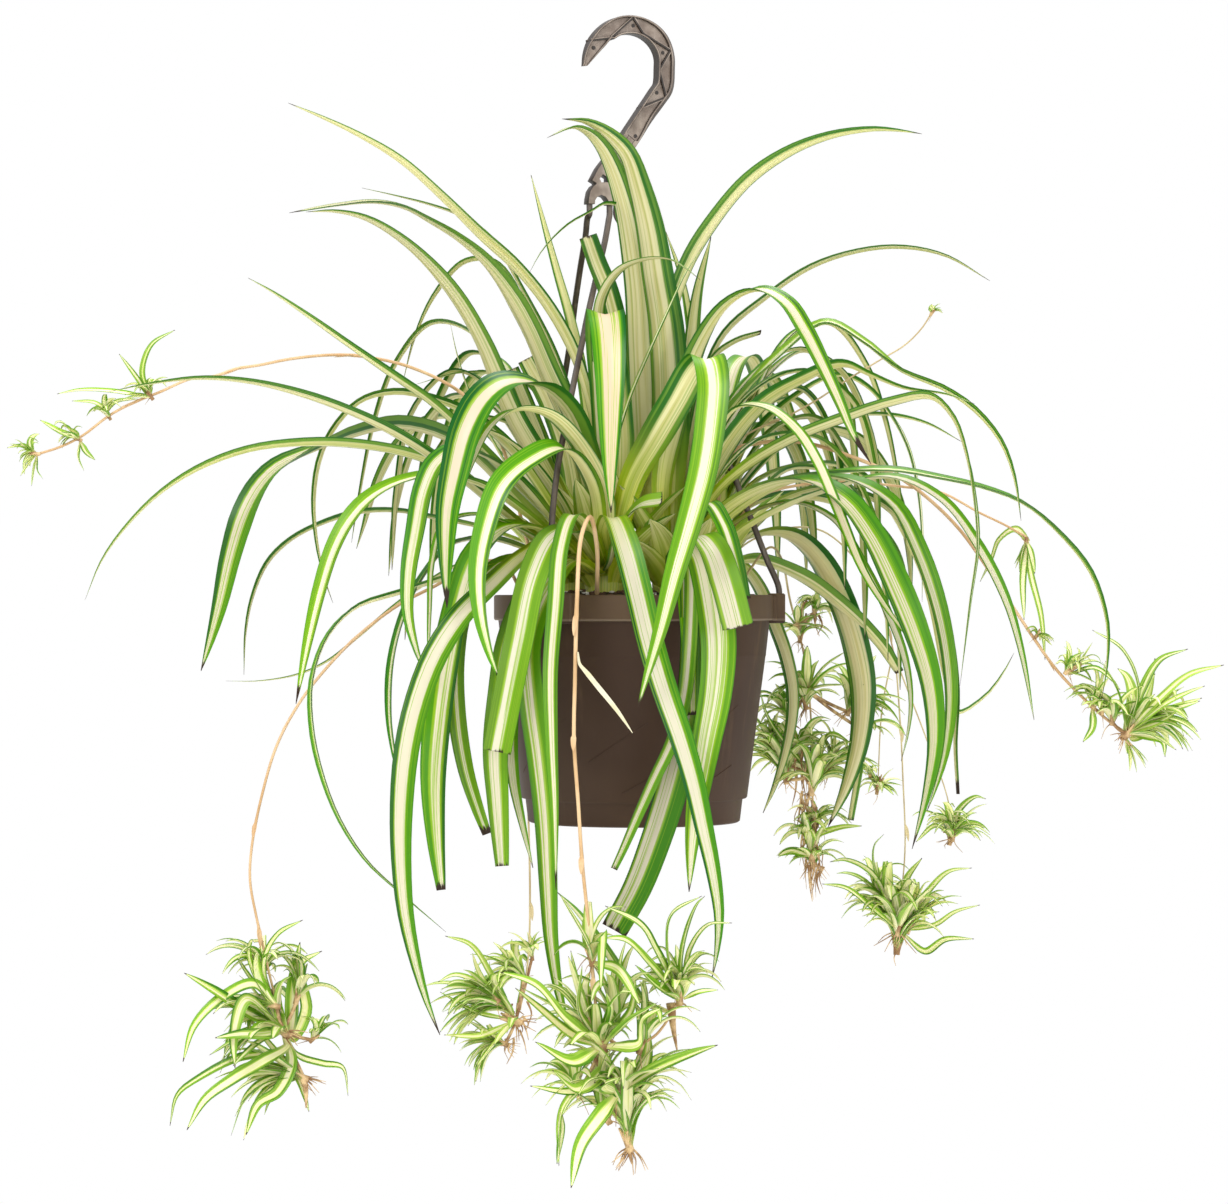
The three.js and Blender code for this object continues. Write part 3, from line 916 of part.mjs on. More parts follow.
Object.entries(bunches).forEach(([key, pieces]) => {
  group.add(toMesh("crown_" + key, largestBody(join(pieces)), COLOURS.leaf));
});
Object.entries(runnerSolids).forEach(([name, { slim }]) => group.add(toMesh(name, slim, COLOURS.runner)));
Object.entries(plantletSolids).forEach(([name, solid]) => group.add(toMesh(name, solid, COLOURS.plantlet)));

export default group;
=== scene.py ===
import math
from functools import partial

import bpy
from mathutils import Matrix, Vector


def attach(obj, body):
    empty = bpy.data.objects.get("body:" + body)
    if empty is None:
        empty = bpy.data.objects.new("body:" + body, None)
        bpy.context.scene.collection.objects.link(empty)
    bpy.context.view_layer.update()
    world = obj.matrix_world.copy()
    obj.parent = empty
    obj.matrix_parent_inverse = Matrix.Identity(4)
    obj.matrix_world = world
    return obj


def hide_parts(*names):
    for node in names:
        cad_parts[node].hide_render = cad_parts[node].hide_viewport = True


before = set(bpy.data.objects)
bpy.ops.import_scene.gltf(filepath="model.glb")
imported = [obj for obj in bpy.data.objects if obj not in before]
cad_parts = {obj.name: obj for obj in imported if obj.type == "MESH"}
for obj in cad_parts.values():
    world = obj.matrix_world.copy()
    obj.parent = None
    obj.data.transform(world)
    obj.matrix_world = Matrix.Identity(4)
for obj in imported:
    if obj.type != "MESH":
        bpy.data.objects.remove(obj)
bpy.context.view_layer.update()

# Camera: level, straight at the pot, as in the photo. Lengths are in millimetres, and step is the size of a pixel
# at the pot's axis.
camera = {"x": -8.1, "z": -355.0, "distance": 2200.0, "width": 767.5, "column": 614, "row": 602, "step": 0.625}
numberMaker = {"factor": 1103515245.0, "shift": 12345.0, "range": 2147483648.0}


def mm(x, y, z):
    return Vector((x, y, z)) / 1000


def frontPoints(numbers):
    # Column, row and depth of each point in turn, as the camera sees them
    points = []
    for column, row, depth in zip(*[iter(numbers)] * 3):
        scale = camera["step"] * (camera["distance"] + depth) / camera["distance"]
        x, z = (column - camera["column"]) * scale, (row - camera["row"]) * scale
        points.append(mm(camera["x"] + x, depth, camera["z"] - z))
    return points


def seeded(seed):
    state = [float(seed)]

    def draw():
        state[0] = math.fmod(state[0] * numberMaker["factor"] + numberMaker["shift"], numberMaker["range"])
        return state[0] / numberMaker["range"]

    return draw


def mixed(a, b, share):
    return a + (b - a) * share


def eased(low, high, value):
    share = min(1.0, max(0.0, (value - low) / (high - low)))
    return share * share * (3 - 2 * share)


def level(angle):
    return Vector((math.cos(angle), math.sin(angle), 0))


def upright(angle):
    return Vector((math.cos(angle), 0, math.sin(angle)))


def circle(sides, turn=0.0):
    return [2 * math.pi * k / sides + turn for k in range(sides)]


# Curves, worked out at this many places between two points
spanSteps = 14


def smoothCourse(points, count, bendShare=0.03):
    # Spline through the points, with its stations closer together where it bends
    ends = [points[0] * 2 - points[1], *points, points[-1] * 2 - points[-2]]
    dense = []
    for a, b, c, d in zip(ends, ends[1:], ends[2:], ends[3:]):
        ab, bc, cd = (max((q - p).length ** 0.5, 1e-6) for p, q in ((a, b), (b, c), (c, d)))
        slopeB = ((b - a) / ab - (c - a) / (ab + bc) + (c - b) / bc) * bc
        slopeC = ((c - b) / bc - (d - b) / (bc + cd) + (d - c) / cd) * bc
        for k in range(spanSteps):
            t = k / spanSteps
            dense.append(b * (2 * t**3 - 3 * t**2 + 1) + slopeB * (t**3 - 2 * t**2 + t)
                         + c * (3 * t**2 - 2 * t**3) + slopeC * (t**3 - t**2))
    dense.append(points[-1].copy())
    lengths, measures = [0.0], [0.0]
    for i in range(1, len(dense)):
        step = dense[i] - dense[i - 1]
        before = dense[i - 1] - dense[max(0, i - 2)]
        bend = step.angle(before, 0.0) if before.length > 1e-7 and step.length > 1e-7 else 0.0
        lengths.append(lengths[-1] + step.length)
        measures.append(measures[-1] + step.length + bendShare * bend)
    course, shares, place = [], [], 0
    for k in range(count + 1):
        wanted = measures[-1] * k / count
        while place < len(dense) - 2 and measures[place + 1] < wanted:
            place += 1
        part = min(1.0, (wanted - measures[place]) / max(measures[place + 1] - measures[place], 1e-9))
        course.append(dense[place].lerp(dense[place + 1], part))
        shares.append(mixed(lengths[place], lengths[place + 1], part) / lengths[-1])
    return course, shares


def directions(course):
    last = len(course) - 1
    return [(course[min(last, i + 1)] - course[max(0, i - 1)]).normalized() for i in range(last + 1)]


# Meshes: a batch gathers closed tubes, then becomes one piece.
# The facts of a leaf are its variation, dry tip length, cream share, lime share and peach share.
factNames = ("vary", "dry", "pale", "lime", "blush")
plainFacts = (0.5, 0.0, 0.5, 0.2, 0.2)


def newBatch():
    return {"points": [], "faces": [], "uvs": [], "facts": []}


def addTube(batch, rings, uvRows=None, facts=plainFacts):
    start, around, last = len(batch["points"]), len(rings[0]), len(rings) - 1
    for ring in rings:
        batch["points"] += ring
        batch["facts"] += [facts] * around
    faces, uvs = [], []
    for i in range(last):
        for j in range(around):
            a, b = start + i * around + j, start + i * around + (j + 1) % around
            faces.append((a, b, b + around, a + around))
            low, high = (uvRows(i, j), uvRows(i + 1, j)) if uvRows else (((0, 0), (0, 0)),) * 2
            uvs.append((low[0], low[1], high[1], high[0]))
    sides = list(faces)
    faces += [tuple(start + j for j in reversed(range(around))),
              tuple(start + last * around + j for j in range(around))]
    uvs += [((0.5, 0),) * around, ((0.5, 1),) * around]
    points = batch["points"]
    volume = sum(points[a].dot(points[b].cross(points[c])) + points[a].dot(points[c].cross(points[d]))
                 for a, b, c, d in sides)
    if volume < 0:
        faces, uvs = ([tuple(reversed(item)) for item in items] for items in (faces, uvs))
    batch["faces"] += faces
    batch["uvs"] += uvs


def linked(name, data):
    made = bpy.data.objects.new(name, data)
    bpy.context.scene.collection.objects.link(made)
    return made


def toPiece(batch, name, material, nodes=(), angle=50):
    mesh = bpy.data.meshes.new(name)
    mesh.from_pydata(batch["points"], [], batch["faces"])
    layer = mesh.uv_layers.new(name="strap")
    layer.data.foreach_set("uv", [value for face in batch["uvs"] for corner in face for value in corner])
    for index, label in enumerate(factNames):
        attribute = mesh.attributes.new(label, "FLOAT", "POINT")
        attribute.data.foreach_set("value", [fact[index] for fact in batch["facts"]])
    mesh.materials.append(material)
    mesh.shade_smooth()
    mesh.set_sharp_from_angle(angle=math.radians(angle))
    piece = linked(name, mesh)
    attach(piece, "root")
    if nodes:
        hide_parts(*nodes)


def tubeRings(course, shares, section, facing):
    rings = []
    for point, share, ahead in zip(course, shares, directions(course)):
        face = (facing - ahead * facing.dot(ahead)).normalized()
        side = ahead.cross(face).normalized()
        rings.append([point + side * a + face * b for a, b in section(share)])
    return rings


def addStem(batch, points, radiusAt, count, sides=8):
    course, shares = smoothCourse(points, count, 0.01)
    run = course[-1] - course[0]
    facing = Vector((run.y, -run.x, 0)) if abs(run.x) + abs(run.y) > 1e-4 else Vector((0, -1, 0))
    section = lambda t: [(radiusAt(t) * math.cos(a), radiusAt(t) * math.sin(a)) for a in circle(sides)]
    rings = tubeRings(course, shares, section, facing.normalized())
    addTube(batch, rings, lambda i, j: ((j / sides, shares[i]), ((j + 1) / sides, shares[i])))


def tapered(radius, loss):
    return lambda t: radius / 1000 * (1 - loss * t)


def addLathe(batch, centre, profile, segments):
    rings = [[centre + mm(max(radius, 0.02) * math.cos(a), max(radius, 0.02) * math.sin(a), height)
              for a in circle(segments)] for radius, height in profile]
    addTube(batch, rings, lambda i, j: ((0.4, 0.02), (0.6, 0.02)))


# Materials, with the settings that their nodes share
smooth = {"interpolation_type": "SMOOTHSTEP"}
tint = {"data_type": "RGBA"}
product, difference, absolute, productSum, overLimit, dotProduct = (
    {"operation": name} for name in ("MULTIPLY", "SUBTRACT", "ABSOLUTE", "MULTIPLY_ADD", "GREATER_THAN", "DOT_PRODUCT")
)


def linear(code):
    values = [int(code[i : i + 2], 16) / 255 for i in (1, 3, 5)]
    return tuple(v / 12.92 if v <= 0.04045 else ((v + 0.055) / 1.055) ** 2.4 for v in values) + (1.0,)


def addNode(material, kind, inputs=(), settings=None, out=0):
    made = material.node_tree.nodes.new("ShaderNode" + kind)
    for key, value in (settings or {}).items():
        setattr(made, key, value)
    for key, value in inputs.items() if isinstance(inputs, dict) else enumerate(inputs):
        if isinstance(value, bpy.types.NodeSocket):
            material.node_tree.links.new(value, made.inputs[key])
        else:
            made.inputs[key].default_value = linear(value) if isinstance(value, str) else value
    return made.outputs[out] if made.outputs else made


def newMaterial(name):
    material = bpy.data.materials.new(name)
    material.use_nodes = True
    material.node_tree.nodes.clear()
    return material, partial(addNode, material)


def plasticMaterial(name, look):
    # Moulded polypropylene: even colour, soft broad highlights, faint flow streaks and a very fine grain
    material, add = newMaterial(name)
    place = add("NewGeometry", out="Position")
    cloud = add("TexNoise", {"Vector": place, "Scale": 1000 / look["cloudSize"], "Detail": 3.0})
    drawn = add("VectorMath", (place, (1.0, 1.0, look["stretch"])), product)
    streaks = add("TexNoise", {"Vector": drawn, "Scale": 1000 / look["streakSize"], "Detail": 4.0, "Roughness": 0.7})
    # Each layer is its share over the surface and its colour
    layers = [(add("MapRange", (cloud, 0.35, 0.65), smooth), look["light"]),
              (add("MapRange", (streaks, 0.56, 0.8, 0.0, look["streaks"]), smooth), look["dust"])]
    if "rim" in look:
        # Painted light: the rim band is lighter than the wall, which lies in the leaves' shade, and a painted highlight
        # line runs along its lower edge
        height = add("SeparateXYZ", (place,), out="Z")
        low, high = look["rimFrom"]
        band = add("MapRange", (height, low, high, 0.0, look["rimShare"]), smooth)
        upTo = add("MapRange", (height, low, high, 0.0, look["highlightLineShare"]), smooth)
        past = add("MapRange", (height, high, high + look["highlightLineWidth"], 0.0, look["highlightLineShare"]), smooth)
        layers += [(band, look["rim"]), (add("Math", (upTo, past), difference), look["edge"])]
    if "flankShade" in look:
        # Painted shade: sides and edges that turn away from the broad face are darker
        normal = add("NewGeometry", out="Normal")
        turned = add("VectorMath", (normal, look["broadSide"]), dotProduct, "Value")
        flankShade = add("MapRange", (add("Math", (turned,), absolute), 0.6, 0.95, 1.0, 0.0), smooth)
        layers.append((flankShade, look["flankShade"]))
    colour = look["colour"]
    for share, over in layers:
        colour = add("Mix", {0: share, 6: colour, 7: over}, tint, 2)
    grain = add("TexNoise", {"Vector": place, "Scale": 1000 / look["grainSize"], "Detail": 2.0})
    shader = add("BsdfPrincipled", {
        "Base Color": colour,
        "Roughness": add("MapRange", {0: streaks, 3: look["roughness"], 4: look["roughness"] + 0.2}),
        "Normal": add("Bump", {"Height": grain, "Strength": look["grain"], "Distance": 0.0002}),
        "IOR": 1.49, "Specular IOR Level": look["sheen"],
    })
    add("OutputMaterial", {"Surface": shader})
    return material


def leafMaterial(name, look):
    # Living strap leaf: cream band between green margins with fine length-wise lines, waxy and slightly see-through.
    # The strap map runs from 0 to 1 across the top and from 1 to 2 across the underside.
    material, add = newMaterial(name)
    strap = add("UVMap", settings={"uv_map": "strap"})
    across, along = add("SeparateXYZ", (strap,)), add("SeparateXYZ", (strap,), out="Y")
    vary, dry, pale, lime, blush = (add("Attribute", (), {"attribute_name": label}, "Fac") for label in factNames)
    under = add("Math", (across, 1.0), overLimit)
    middle = add("Math", (add("Math", (across, under), difference), 0.5), difference)
    leaning = add("Math", (vary, look["lean"], -look["lean"] / 2), productSum)
    outwards = add("Math", (add("Math", (middle,), absolute), 2.0), product)
    shifted = add("Math", (add("Math", (add("Math", (middle, leaning)),), absolute), 2.0), product)
    drift = add("Math", (along, look["drift"]), product)
    own = add("Math", (vary, 37.0), product)
    broad, fine = (
        add("TexNoise", {"Vector": add("CombineXYZ", (add("Math", (middle, look[lines]), product), drift, own)),
                         "Scale": 1.0, "Detail": detail, "Roughness": 0.6})
        for lines, detail in (("broadLines", 2.0), ("fineLines", 1.0))
    )
    edge = add("Math", (shifted, add("Math", (broad, look["wander"], -look["wander"] / 2), productSum)))
    half = add("Math", (pale, look["paleReach"], look["paleLeast"]), productSum)

    def beyond(wider):
        limit = add("Math", (half, wider))
        low, high = add("Math", (limit, look["edgeSoft"]), difference), add("Math", (limit, look["edgeSoft"]))
        return add("MapRange", (edge, low, high), smooth)

    brim = add("MapRange", (outwards, 0.9, 0.98, 0.0, 0.5), smooth)
    # Painted shade and light: one green margin of each leaf is darker and the other lighter, the side set by its
    # variation, as on the two halves of a folded leaf
    sideShade = add("Math", (middle, add("Math", (vary, 1.6, -0.8), productSum)), product)
    seam = add("Math", (beyond(-look["seamIn"]), beyond(look["seamOut"])), difference)
    root = add("MapRange", (along, look["rootFrom"], look["rootReach"], 0.8, 0.0), smooth)
    tipPlace = add("Math", (along, add("Math", (broad, 0.04, -0.02), productSum)))
    dryFrom = add("Math", (1.0, dry), difference)
    tip = add("MapRange", (tipPlace, add("Math", (dryFrom, 0.008), difference), dryFrom), smooth)
    # Each part is its first colour and then its layers: share over the surface, and a colour or an earlier part
    parts = {
        "greenBand": ("deepGreen", (
            (add("MapRange", (add("Math", (broad, sideShade)), 0.36, 0.62), smooth), "green"),
            (add("Math", (lime, 0.75), product), "limeGreen"),
            (add("MapRange", (fine, 0.56, 0.62, 0.0, 0.45), smooth), "limeGreen"),
        )),
        "top": ("cream", (
            (blush, "blush"),
            (add("MapRange", (fine, 0.56, 0.59, 0.0, look["pins"]), smooth), "limeGreen"),
            (add("MapRange", (broad, 0.6, 0.66, 0.0, 0.55), smooth), "paleGreen"),
            (beyond(0.0), "greenBand"),
            (add("Math", (seam, look["seam"]), product), "limeGreen"),
            (brim, "deepGreen"),
        )),
        "underMargin": ("underDeep", ((add("MapRange", (broad, 0.42, 0.6), smooth), "underGreen"),)),
        "underside": ("underCream", (
            (add("MapRange", (broad, 0.42, 0.62), smooth), "underOlive"),
            (add("MapRange", (fine, 0.56, 0.59, 0.0, look["pins"] * 0.6), smooth), "underLine"),
            (beyond(look["underWiden"]), "underMargin"),
            (brim, "underDeep"),
        )),
        "foot": ("root", ((add("MapRange", (broad, 0.4, 0.6), smooth), "rootGreen"),)),
        "face": ("top", ((under, "underside"), (root, "foot"), (tip, "dryTip"))),
    }
    made = dict(look)
    for part, (colour, layers) in parts.items():
        made[part] = made[colour]
        for share, over in layers:
            made[part] = add("Mix", {0: share, 6: made[part], 7: made[over]}, tint, 2)
    value = add("Math", (vary, look["toneSpread"], look["tone"]), productSum)
    tone = add("HueSaturation", {"Color": made["face"], "Saturation": look["saturation"], "Value": value})
    skin = add("BsdfPrincipled", {
        "Base Color": tone, "Roughness": look["roughness"], "IOR": 1.42,
        "Normal": add("Bump", {"Height": broad, "Strength": 0.3, "Distance": 0.0003}),
    })
    glow = add("BsdfTranslucent", {"Color": tone})
    add("OutputMaterial", {"Surface": add("MixShader", (look["seeThrough"], skin, glow))})
    return material


def patchyMaterial(name, look):
    # Dry or living skin in two tones: soft sheen on a stem, none on crumbs or dry bracts
    material, add = newMaterial(name)
    place = add("NewGeometry", out="Position")
    cloud = add("TexNoise", {"Vector": place, "Scale": 1000 / look["patch"], "Detail": look.get("detail", 3.0)})
    share = add("MapRange", (cloud, *look.get("blend", (0.36, 0.62))), smooth)
    colour = add("Mix", {0: share, 6: look["first"], 7: look["second"]}, tint, 2)
    shader = {"Base Color": colour, "Roughness": look["roughness"], "IOR": look.get("ior", 1.42)}
    if "bump" in look:
        shader["Normal"] = add("Bump", {"Height": cloud, "Strength": look["bump"], "Distance": 0.001})
    add("OutputMaterial", {"Surface": add("BsdfPrincipled", shader)})
    return material


def plainMaterial(name, colour, roughness):
    material, add = newMaterial(name)
    shader = add("BsdfPrincipled", {"Base Color": colour, "Roughness": roughness, "IOR": 1.4})
    add("OutputMaterial", {"Surface": shader})
    return material


# Sizes of patterns are in millimetres. The grain of moulded plastic is finer than this, and is drawn as coarse as it
# needs to show.
potLook = {
    "colour": "#3b2b21", "light": "#463529", "dust": "#6b5540", "cloudSize": 111.1, "streakSize": 16.67,
    "stretch": 0.06, "streaks": 0.4, "grainSize": 1.111, "grain": 0.25, "roughness": 0.42, "sheen": 0.14,
    # The rim colour is painted light, lifting the rim over the wall in the leaves' shade; the edge colour is a painted
    # highlight line
    "rim": "#594736", "rimFrom": (-0.3672, -0.366), "rimShare": 0.85, "edge": "#8d7e6c", "highlightLineShare": 0.45,
    "highlightLineWidth": 0.0012,
}
hangerLook = {
    "colour": "#6f6055", "light": "#998b7f", "dust": "#c0b4a9", "cloudSize": 14.29, "streakSize": 4.167,
    "stretch": 0.06, "streaks": 0.4, "grainSize": 1.111, "grain": 0.3, "roughness": 0.34, "sheen": 0.4,
    # The flank colour is painted shade on the sides and edges
    "broadSide": (0.454, -0.891, 0.0), "flankShade": "#2a211b",
}
# Ribs and marks in a near-black copy of the hanger plastic: painted shadow, so they read as dark lines and spots
ribShadowLook = dict(hangerLook, colour="#1f1813", light="#2b221c", dust="#4a3f37")
armLook = dict(hangerLook, colour="#4a3f38", light="#62564d")
# Lines are counted across a leaf: 20 on a 20 mm leaf stand 1 mm apart. The real veins are finer, and are drawn as
# coarse as they need to show.
motherLook = {
    "broadLines": 7.0, "fineLines": 20.0, "drift": 1.3, "lean": 0.2, "wander": 0.34, "edgeSoft": 0.04,
    "paleReach": 0.55, "paleLeast": 0.16, "seamIn": 0.03, "seamOut": 0.1, "seam": 0.75, "pins": 0.85,
    "deepGreen": "#1d6a26", "green": "#55a028", "limeGreen": "#a9d048", "paleGreen": "#cfdf98", "cream": "#f8f3de",
    "blush": "#f1dcc3", "underCream": "#f0ebc0", "underOlive": "#dad598", "underLine": "#a6b65c",
    "underGreen": "#7ba446", "underDeep": "#36742a", "underWiden": 0.14, "root": "#e6ea5c", "rootGreen": "#b6cc34",
    "rootFrom": 0.08, "rootReach": 0.32, "dryTip": "#3a2a1d", "saturation": 1.08, "tone": 0.8, "toneSpread": 0.3,
    "roughness": 0.36, "seeThrough": 0.4,
}
youngLook = dict(
    motherLook, broadLines=4.5, fineLines=9.0, green="#82b23f", deepGreen="#438028", cream="#f5f2d0",
    limeGreen="#d2e27c", underGreen="#a2c060", underDeep="#6c9c3c", underCream="#f0edc6", underOlive="#e2e2aa",
    root="#e9dfae", rootGreen="#d2d292", rootFrom=0.0, rootReach=0.22, tone=1.0, toneSpread=0.2,
)
# Smooth tan stems with redder patches and a soft sheen, then matt papery bracts and dry roots
runnerLook = {"first": "#d3b288", "second": "#bd986b", "patch": 33.33, "roughness": 0.45}
paleRunnerLook = {"first": "#d3c294", "second": "#b09a6e", "patch": 33.33, "roughness": 0.5}
bractLook = {"first": "#e4dac2", "second": "#cfc8a0", "patch": 16.67, "roughness": 0.6}
budLook = {"first": "#d2b384", "second": "#8d6a45", "patch": 6.25, "roughness": 0.6}
potPlastic = plasticMaterial("moulded polypropylene pot", potLook)
hangerPlastic = plasticMaterial("moulded polypropylene hanger", hangerLook)
ribShadowPlastic = plasticMaterial("moulded polypropylene hanger ribs in painted shadow", ribShadowLook)
armPlastic = plasticMaterial("moulded polypropylene hanger arm", armLook)
motherLeafMaterial = leafMaterial("variegated spider plant leaf", motherLook)
youngLeafMaterial = leafMaterial("young spider plant leaf", youngLook)
runnerMaterial = patchyMaterial("spider plant runner stem", runnerLook)
paleRunnerMaterial = patchyMaterial("thin pale runner stem", paleRunnerLook)
bractMaterial = patchyMaterial("dry pale bract", bractLook)
budMaterial = patchyMaterial("dry bract and fleshy root", budLook)
print("materials made")

# Blades: strap leaves with a channel along the middle. Thicknesses are in metres.
blade = {
    "thickness": 0.0009, "slimmest": 0.0002, "across": 8, "waist": 0.38, "widestFrom": 0.27, "tipPower": 3.3,
    "tipRound": 0.85, "channel": 0.34, "channelPower": 1.3, "ripple": 0.02, "ripples": 31,
}


def bladeWidth(t, width, blunt):
    swell = mixed(blade["waist"], 1, min(1.0, t / blade["widestFrom"]))
    taper = 1 - (1 - blunt) * t**4 if blunt else max(0.0, 1 - t ** blade["tipPower"]) ** blade["tipRound"]
    return width / 1000 * swell * taper


def rollAt(rolls, t):
    place = t * (len(rolls) - 1)
    index = max(0, min(len(rolls) - 2, int(place)))
    return mixed(rolls[index], rolls[min(index + 1, len(rolls) - 1)], place - index)


def addBlade(batch, points, width, facts, segments, rolls=(0,), blunt=None, heading=None, reach=1.0):
    course, shares = smoothCourse(points, segments)
    outward = (points[-1] - points[0]) * Vector((1, 1, 0)) if heading is None else level(math.radians(heading))
    outward.normalize()
    reference = Vector((outward.y, -outward.x, 0))
    turn = -1 if reference.y > 0 else 1
    across, around = blade["across"], 2 * blade["across"]
    rings = []
    for point, t, ahead in zip(course, shares, directions(course)):
        side = (reference - ahead * reference.dot(ahead)).normalized()
        face = side.cross(ahead).normalized()
        roll = math.radians(turn * rollAt(rolls, t))
        sideways = side * math.cos(roll) + face * math.sin(roll)
        up = sideways.cross(ahead).normalized()
        half = max(bladeWidth(t, width, blunt) / 2, blade["slimmest"])
        thick = min(blade["thickness"], half * 0.4) / 2
        ring = []
        for j in range(around):
            top = j <= across
            x = 2 * (j if top else around - j) / across - 1
            fold = half * blade["channel"] * abs(x) ** blade["channelPower"]
            wave = half * blade["ripple"] * math.sin(t * blade["ripples"] + facts[0] * 40 + x * 2) * abs(x)
            skin = thick * (1 - x * x) ** 0.5 * (1 if top else -1)
            ring.append(point + sideways * (half * x) + up * (fold + wave + skin))
        rings.append(ring)

    def rows(i, j):
        top = j < across
        along = min(0.999, shares[i]) * reach
        ends = (j, j + 1) if top else (around - j, around - j - 1)
        return tuple(((0 if top else 1) + 0.002 + 0.996 * k / across, along) for k in ends)

    addTube(batch, rings, rows, facts)


def growthCourse(origin, grow, aim, reach, sag, steps=6):
    points = [origin]
    for k in range(1, steps + 1):
        t = k / steps
        step = (grow * (1 - t) + aim * (0.35 + t) + Vector((0, 0, -sag * t * t))).normalized()
        points.append(points[-1] + step * (reach / steps / 1000))
    return points


# Mother plant: four crowns in the soil
crowns = {"a": (605, 588, -28), "b": (672, 588, -24), "c": (570, 588, 36), "d": (700, 588, 36)}
crownShape = {"top": -347.5, "leafHeight": 12.0, "leafOut": 3.0, "sides": 20,
              "profile": [(10.5, -16), (11.5, 0), (12.5, 6), (10.5, 16), (7.5, 27), (4, 36)]}


def crownRoot(crown, height=crownShape["leafHeight"]):
    root = frontPoints(crowns[crown])[0]
    root.z = (crownShape["top"] + height) / 1000
    return root


def fromCrown(crown, points, towards):
    root = crownRoot(crown)
    out = ((towards - root) * Vector((1, 1, 0))).normalized()
    return [root + out * (crownShape["leafOut"] / 1000), *points]
